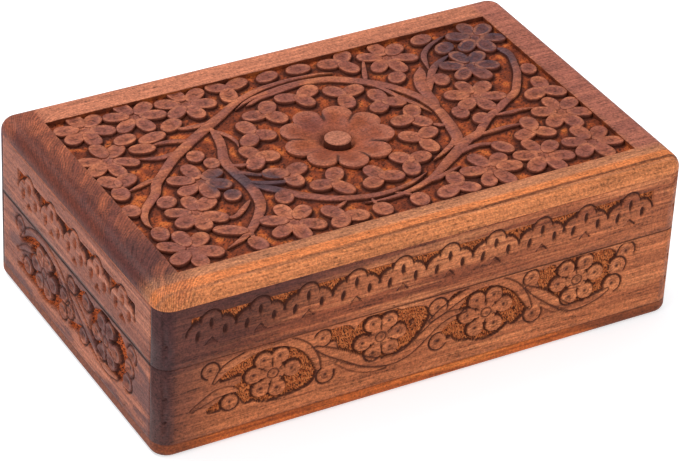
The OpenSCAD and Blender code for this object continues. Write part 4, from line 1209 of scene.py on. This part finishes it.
def front_body(r):
    """Four flowers along a scroll that rises and falls, with sunk ground between."""
    r.hollow([(-79, 27, 1.0), (-70, 30, 3.4), (-60, 30.5, 4.0), (-50, 27, 4.2), (-45.6, 21, 3.0),
              (-46, 16.5, 2.6), (-54, 14.6, 2.4)])
    r.hollow([(-83.6, 15.3, 1.2), (-79, 16.4, 2.2), (-72, 20.5, 3.0), (-69, 16.0, 2.2)])
    r.hollow([(-36.4, 32.6, 2.4), (-31, 31.4, 3.4), (-30, 27.4, 3.6), (-25, 23.0, 2.0)])
    r.hollow([(-10, 31.8, 3.0), (-5, 31.8, 3.0), (0.5, 30.6, 2.6), (-2, 25, 2.6), (-6, 20, 2.0)])
    r.hollow([(11.5, 31.5, 1.6), (14, 34.2, 1.6), (18, 33.4, 1.4)])
    r.hollow([(11, 19.2, 2.6), (14.4, 20.4, 3.2), (16.6, 17.0, 3.0), (20, 15, 1.6)])
    r.hollow([(34, 31, 3.0), (39, 26, 3.2), (42.4, 20.4, 2.2), (38.6, 17.4, 2.6)])
    r.hollow([(49.6, 33, 1.8), (51, 30, 2.8), (53.4, 33.2, 2.4), (51, 27.4, 2.2)])
    r.hollow([(74, 33.6, 2.4), (78.6, 32.2, 2.8), (78, 27, 2.6), (76.6, 21.0, 2.4), (72, 18.6, 1.6)])
    r.flower(-59.3, 23.6, (68, 118, 172, 232, 284, 358), 7.5, 3.55)
    r.flower(-16.6, 25.9, (62, 116, 188, 248, 305, 0), 7.2, 3.5)
    r.flower(26.8, 23.3, (66, 122, 176, 238, 300, 10), 7.6, 3.6)
    r.flower(65.0, 26.1, (66, 128, 180, 250, 302, 6), 7.8, 3.6)
    r.vine(0.7, [(-90.6, 17.2, 0.5), (-86, 19.4, 1.2), (-81, 21.6, 1.6), (-76, 21.6, 1.4), (-73, 20.4, 0.5)])
    r.vine(0.9, [(-82.2, 26.5, 0.4), (-78, 31.0, 1.5), (-71, 34.0, 1.6), (-63, 36.2, 1.7), (-54, 35.0, 1.7),
                 (-47, 30.8, 1.7), (-43.0, 25, 1.5), (-41.3, 20.0, 1.0)])
    r.vine(0.9, [(-42.5, 29.0, 0.6), (-37, 25.6, 1.6), (-30, 21.6, 1.9), (-22, 16.6, 1.9), (-14, 14.2, 1.8),
                 (-6, 15.4, 1.8), (0.5, 20.0, 1.9), (6, 24.4, 1.6), (12, 26.8, 1.3), (18, 26.5, 0.5)])
    r.vine(0.7, [(-34, 20.0, 0.5), (-28, 16.0, 1.0), (-21, 13.0, 1.0), (-14, 12.0, 0.4)])
    r.vine(0.9, [(3.6, 26.4, 0.5), (8, 29.0, 1.3), (16, 33.4, 1.5), (24, 36.0, 1.6), (32, 34.8, 1.7),
                 (39, 30.2, 1.7), (43.0, 24.6, 1.5), (45.4, 20.0, 0.9)])
    r.vine(0.9, [(43.6, 29.0, 0.5), (48, 25.6, 1.6), (54, 21.0, 1.9), (61, 15.2, 1.5), (67, 14.2, 1.4),
                 (74, 15.6, 1.2), (79, 17.6, 0.5)])
    r.vine(0.6, [(50, 19.4, 0.4), (56, 15.8, 1.0), (62, 13.0, 0.4)])
    for cu, cz, rr, arc in (
        (-83.6, 31.9, 3.3, (120, 150)), (-75.9, 16.4, 3.3, None), (-39.9, 32.2, 3.4, (40, 130)),
        (-38.4, 16.2, 3.4, (250, 150)), (6.6, 31.4, 3.7, (110, 150)), (7.3, 16.4, 3.5, (200, 150)),
        (45.4, 32.4, 3.3, (90, 140)), (46.9, 16.6, 3.6, (250, 150)), (85.8, 32.6, 3.6, (80, 120)),
        (82.3, 27.0, 3.7, (50, 110)), (80.8, 19.7, 3.7, (60, 150)),
    ):
        r.petal(cu, cz, rr, arc)


def side_body(r):
    """Two flowers along a scroll, with a bud between them and sunk ground around."""
    r.hollow([(-47, 25.4, 0.8), (-41, 28.4, 1.6), (-36, 30, 2.6), (-28, 29.4, 2.6), (-21, 27, 2.6),
              (-17.4, 25, 2.2)])
    r.hollow([(-50, 13, 0.8), (-44, 13.4, 1.6), (-36, 14, 2.4), (-26, 13, 1.6), (-18, 14.6, 2.2),
              (-14, 17.4, 2.0)])
    r.hollow([(-1, 31.4, 2.0), (1.5, 30.6, 2.6), (11, 31, 2.6), (13.5, 27.4, 2.6), (16.5, 24.5, 2.0)])
    r.hollow([(-6, 13.4, 1.2), (0.6, 15.6, 1.4), (9.6, 15.4, 1.6), (16, 13.4, 1.4)])
    r.hollow([(28, 33, 1.4), (34, 31.4, 2.8), (36.6, 27.4, 2.8), (35.4, 21.6, 2.8), (33, 17.0, 2.6),
              (27, 14.0, 1.2)])
    r.flower(-28.4, 21.6, (66, 116, 178, 236, 292, 352), 7.2, 3.6)
    r.flower(22.4, 23.9, (66, 118, 184, 244, 304, 356), 7.6, 3.6)
    for cu, cz in ((-11.6, 22.2), (-12.6, 15.4), (-7.2, 18.6)):
        r.petal(cu, cz, 3.4)
    r.vine(0.7, [(-50.6, 19.4, 0.5), (-45, 22.8, 1.2), (-40, 24.4, 1.0), (-37, 24.6, 0.4)])
    r.vine(0.9, [(-48, 26.0, 0.4), (-43, 30.6, 1.5), (-36, 33.6, 1.6), (-27, 34.0, 1.7), (-18, 31.6, 1.7),
                 (-11, 27.2, 1.7), (-6, 22.2, 1.6), (-3.2, 19.0, 0.8)])
    r.vine(0.9, [(-8, 27.0, 0.5), (-2, 25.4, 1.6), (4, 22.0, 1.9), (10, 18.2, 1.9), (16, 14.6, 1.6),
                 (23, 12.8, 1.4), (31, 13.6, 0.6)])
    for cu, cz, rr, arc in (
        (-48.3, 31.0, 3.4, (100, 150)), (-42.6, 16.4, 3.6, None), (-5.2, 30.6, 3.4, None),
        (6.6, 30.8, 3.5, None), (4.2, 15.0, 3.4, (200, 170)), (43.0, 31.6, 3.5, (60, 130)),
        (41.0, 24.8, 3.6, (40, 120)), (39.6, 17.8, 3.6, (20, 150)),
    ):
        r.petal(cu, cz, rr, arc)


# Each side of the box: the axis that its walls run along, the sign of its outer side, and -1 where the
# pattern is laid from right to left along that axis
ALONG_X, ALONG_Y = 0, 1
SIDES = {
    "front": (ALONG_X, -1, 1),
    "back": (ALONG_X, 1, -1),
    "left": (ALONG_Y, -1, -1),
    "right": (ALONG_Y, 1, 1),
}
# Height of the carved window in a wall of the case and of the lid; at the back the hinges need more room
WINDOW = {"body": (6.8, 35.8), "lid": (39.0, 58.9)}
BACK_WINDOW = {"body": (6.8, 33.4), "lid": (39.5, 58.9)}
# The rest is given for the long walls and then for the short ones. Half the length of the window, its wood,
# and who carves the case and the lid
HALF_WINDOW = (98.0, 58.0)
WALL_WOOD = (LONG_WOOD, SIDE_WOOD)
CARVERS = ({"body": front_body, "lid": front_lid}, {"body": side_body, "lid": side_lid})
# How the pattern is laid on the wall: shift and scale along it, then upwards
LAYOUT = ((2.35, 1.018, -0.23, 1.0255), (-2.8, 1.017, -0.1, 1.019))
# How much painted shade lies on the sides of the sunk ground, and how many times deeper the carving is cut
BANKS = (0.85, 0.35)
DEEPER = (1.0, 1.25)
# Side of one face of the carved relief
CELL = 0.46


def carved_wall(part, side, seed):
    """A wall of the case or lid, with its outer face cut away in a window and a carved face let in."""
    node = f"{part}_{side}_wall"
    run, outward, mirror = SIDES[side]
    low, high = (BACK_WINDOW if side == "back" else WINDOW)[part]
    half = HALF_WINDOW[run]
    across = 1 - run
    plane = outward * (CASE_L, CASE_W)[across] / 2

    bm = bmesh.new()
    bm.from_mesh(frame["nodes"][node].data)
    bmesh.ops.scale(bm, vec=(MM_PER_METRE,) * 3, verts=bm.verts[:])
    bmesh.ops.remove_doubles(bm, verts=bm.verts[:], dist=0.002)
    for layer in list(bm.loops.layers.uv):
        bm.loops.layers.uv.remove(layer)
    ground, shade_and_cuts = vertex_layers(bm, "ground", "shade_and_cuts")

    def outer():
        return [f for f in bm.faces if abs(f.calc_center_median()[across] - plane) < 0.01
                and f.normal[across] * outward > 0.99]

    way = Vector((0, 0, 0))
    way[run] = 1
    for end in (half, -half):
        score(bm, outer(), way * end, way, 1e-4)
    for level in (low, high):
        score(bm, outer(), Vector((0, 0, level)), Vector((0, 0, 1)), 1e-4)
    inside = [f for f in outer() if abs(f.calc_center_median()[run]) < half
              and low < f.calc_center_median().z < high]
    bmesh.ops.delete(bm, geom=inside, context="FACES")

    grid = bmesh.ops.create_grid(
        bm, x_segments=int(2 * half / CELL), y_segments=int((high - low) / CELL), size=0.5
    )["verts"]
    co = np.array([v.co for v in grid])
    u = co[:, 0] * 2 * half
    z = low + (co[:, 1] + 0.5) * (high - low)
    shift_u, scale_u, shift_z, scale_z = LAYOUT[run]
    relief = Relief(shift_u + scale_u * (mirror * u), shift_z + scale_z * z, seed)
    CARVERS[run][part](relief)
    # dark is the painted shade in the cuts and on the sides of sunk ground; shade is the share of ground
    # colour
    depth, shade, dark = relief.result(BANKS[run])
    fade = ease((half - np.abs(u)) / 1.0) * ease((z - low) / 0.6) * ease((high - z) / 0.6)
    depth *= fade * DEEPER[run]
    for v, a, b, d, g, k, f in zip(grid, u, z, depth, shade, dark, fade):
        v.co[run] = a
        v.co[across] = plane - outward * d
        v.co.z = b
        v[ground] = g * f
        v[shade_and_cuts] = k * f
    bm.normal_update()
    new_faces = {f for v in grid for f in v.link_faces}
    if sum(f.normal[across] for f in new_faces) * outward < 0:
        bmesh.ops.reverse_faces(bm, faces=list(new_faces))
    made = piece(f"carved_{part}_{side}", bm, WALL_WOOD[run], "lid" if part == "lid" else "case")
    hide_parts(node)


shape_top_board()
carve_flowers()
carve_vines()
punch_ground()
carve_bloom()
turn_boss()
walls = [(part, side) for side in SIDES for part in ("body", "lid")]
for seed, (part, side) in enumerate(walls, start=1):
    carved_wall(part, side, seed)

# Everything above is shaped in millimetres; the box is kept in metres
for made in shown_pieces():
    if "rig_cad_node" not in made:
        made.data.transform(Matrix.Scale(MM, 4))
        made.data.update()

FINISHES = {
    "base_wood": BASE_WOOD, "wall_wood": LONG_WOOD, "top_wood": TOP_WOOD, "inner_wood": INNER_WOOD,
    "brass": BRASS, "steel": STEEL,
}
slots = {s["node"]: s["material_slot"] for s in frame["record"]["subparts"]}
for node, made in frame["nodes"].items():
    made.data.materials.clear()
    made.data.materials.append(FILLER if node.endswith("corner_brads") else FINISHES[slots[node]])


# ---- floor, light and camera ----


WHITE = (1, 1, 1, 1)
# The floor: half its size in metres, its colour, and how much of its own light the camera and gloss see
FLOOR_HALF = 3.0
FLOOR_GREY = (0.79, 0.815, 0.84, 1)
FLOOR_GLOW = 0.48
# Strength of the world as light, and as the camera sees it
FILL_LIGHT, SEEN_LIGHT = 0.5, 1.0


def lay_floor():
    """A pale floor that keeps the shadow."""
    bm = bmesh.new()
    bmesh.ops.create_grid(bm, x_segments=1, y_segments=1, size=FLOOR_HALF)
    mesh = bpy.data.meshes.new("pale_floor")
    bm.to_mesh(mesh)
    bm.free()
    paint = Paint("pale_floor")
    by_camera = paint.node("ShaderNodeLightPath", out="Is Camera Ray")
    by_gloss = paint.node("ShaderNodeLightPath", out="Is Glossy Ray")
    diffuse = paint.node("ShaderNodeBsdfDiffuse", sockets={0: FLOOR_GREY})
    glow = paint.node("ShaderNodeEmission", sockets={0: WHITE, 1: by_camera.over(by_gloss) * FLOOR_GLOW})
    both = paint.node("ShaderNodeAddShader", sockets={0: diffuse, 1: glow})
    paint.node("ShaderNodeOutputMaterial", sockets={0: both})
    mesh.materials.append(paint.material)
    floor = bpy.data.objects.new("pale_floor", mesh)
    bpy.context.scene.collection.objects.link(floor)


def light_world():
    """An even white room: weak as light on the box, white behind it."""
    world = bpy.data.worlds.new("studio")
    bpy.context.scene.world = world
    world.use_nodes = True
    tree = world.node_tree
    tree.nodes.clear()
    rays = tree.nodes.new("ShaderNodeLightPath")
    mix = tree.nodes.new("ShaderNodeMixShader")
    tree.links.new(rays.outputs["Is Camera Ray"], mix.inputs[0])
    for place, strength in ((1, FILL_LIGHT), (2, SEEN_LIGHT)):
        light = tree.nodes.new("ShaderNodeBackground")
        light.inputs[0].default_value = WHITE
        light.inputs[1].default_value = strength
        tree.links.new(light.outputs[0], mix.inputs[place])
    end = tree.nodes.new("ShaderNodeOutputWorld")
    tree.links.new(mix.outputs[0], end.inputs[0])


def softbox(name, place, aim, size, power):
    """A rectangular lamp at a place, turned to what it lights; metres and watts."""
    lamp = bpy.data.lights.new(name, "AREA")
    lamp.shape = "RECTANGLE"
    lamp.size, lamp.size_y = size
    lamp.energy = power
    made = bpy.data.objects.new(name, lamp)
    bpy.context.scene.collection.objects.link(made)
    made.location = place
    made.rotation_mode = "QUATERNION"
    made.rotation_quaternion = (Vector(aim) - Vector(place)).to_track_quat("-Z", "Y")


# The camera: its own axes, its place in metres and its lens in millimetres
VIEW_RIGHT = Vector((0.872485, -0.486790, 0.042483))
VIEW_DOWN = Vector((-0.236757, -0.497191, -0.834714))
VIEW_AHEAD = Vector((0.427453, 0.718218, -0.549042))
VIEW_FROM = (-0.497313, -0.838295, 0.665456)
LENS = 171.2676


def set_camera():
    """A long lens that looks down on the front left corner."""
    cam = bpy.data.cameras.new("camera")
    cam.sensor_width = 36.0
    cam.lens = LENS
    cam.clip_start, cam.clip_end = 0.05, 20
    made = bpy.data.objects.new("camera", cam)
    bpy.context.scene.collection.objects.link(made)
    turn = Matrix((VIEW_RIGHT, -VIEW_DOWN, -VIEW_AHEAD)).transposed().to_4x4()
    made.matrix_world = Matrix.Translation(VIEW_FROM) @ turn
    bpy.context.scene.camera = made


lay_floor()
light_world()
softbox("key_above_behind", (-0.25, 0.55, 0.95), (0, 0, 0.05), (0.8, 0.6), 9.5)
softbox("fill_front", (0.35, -1.1, 0.75), (0, 0, 0.03), (0.9, 0.7), 6.0)
softbox("fill_left", (-1.1, -0.25, 0.6), (0, 0, 0.03), (0.7, 0.7), 3.5)
set_camera()

bpy.context.scene.view_settings.view_transform = "Standard"
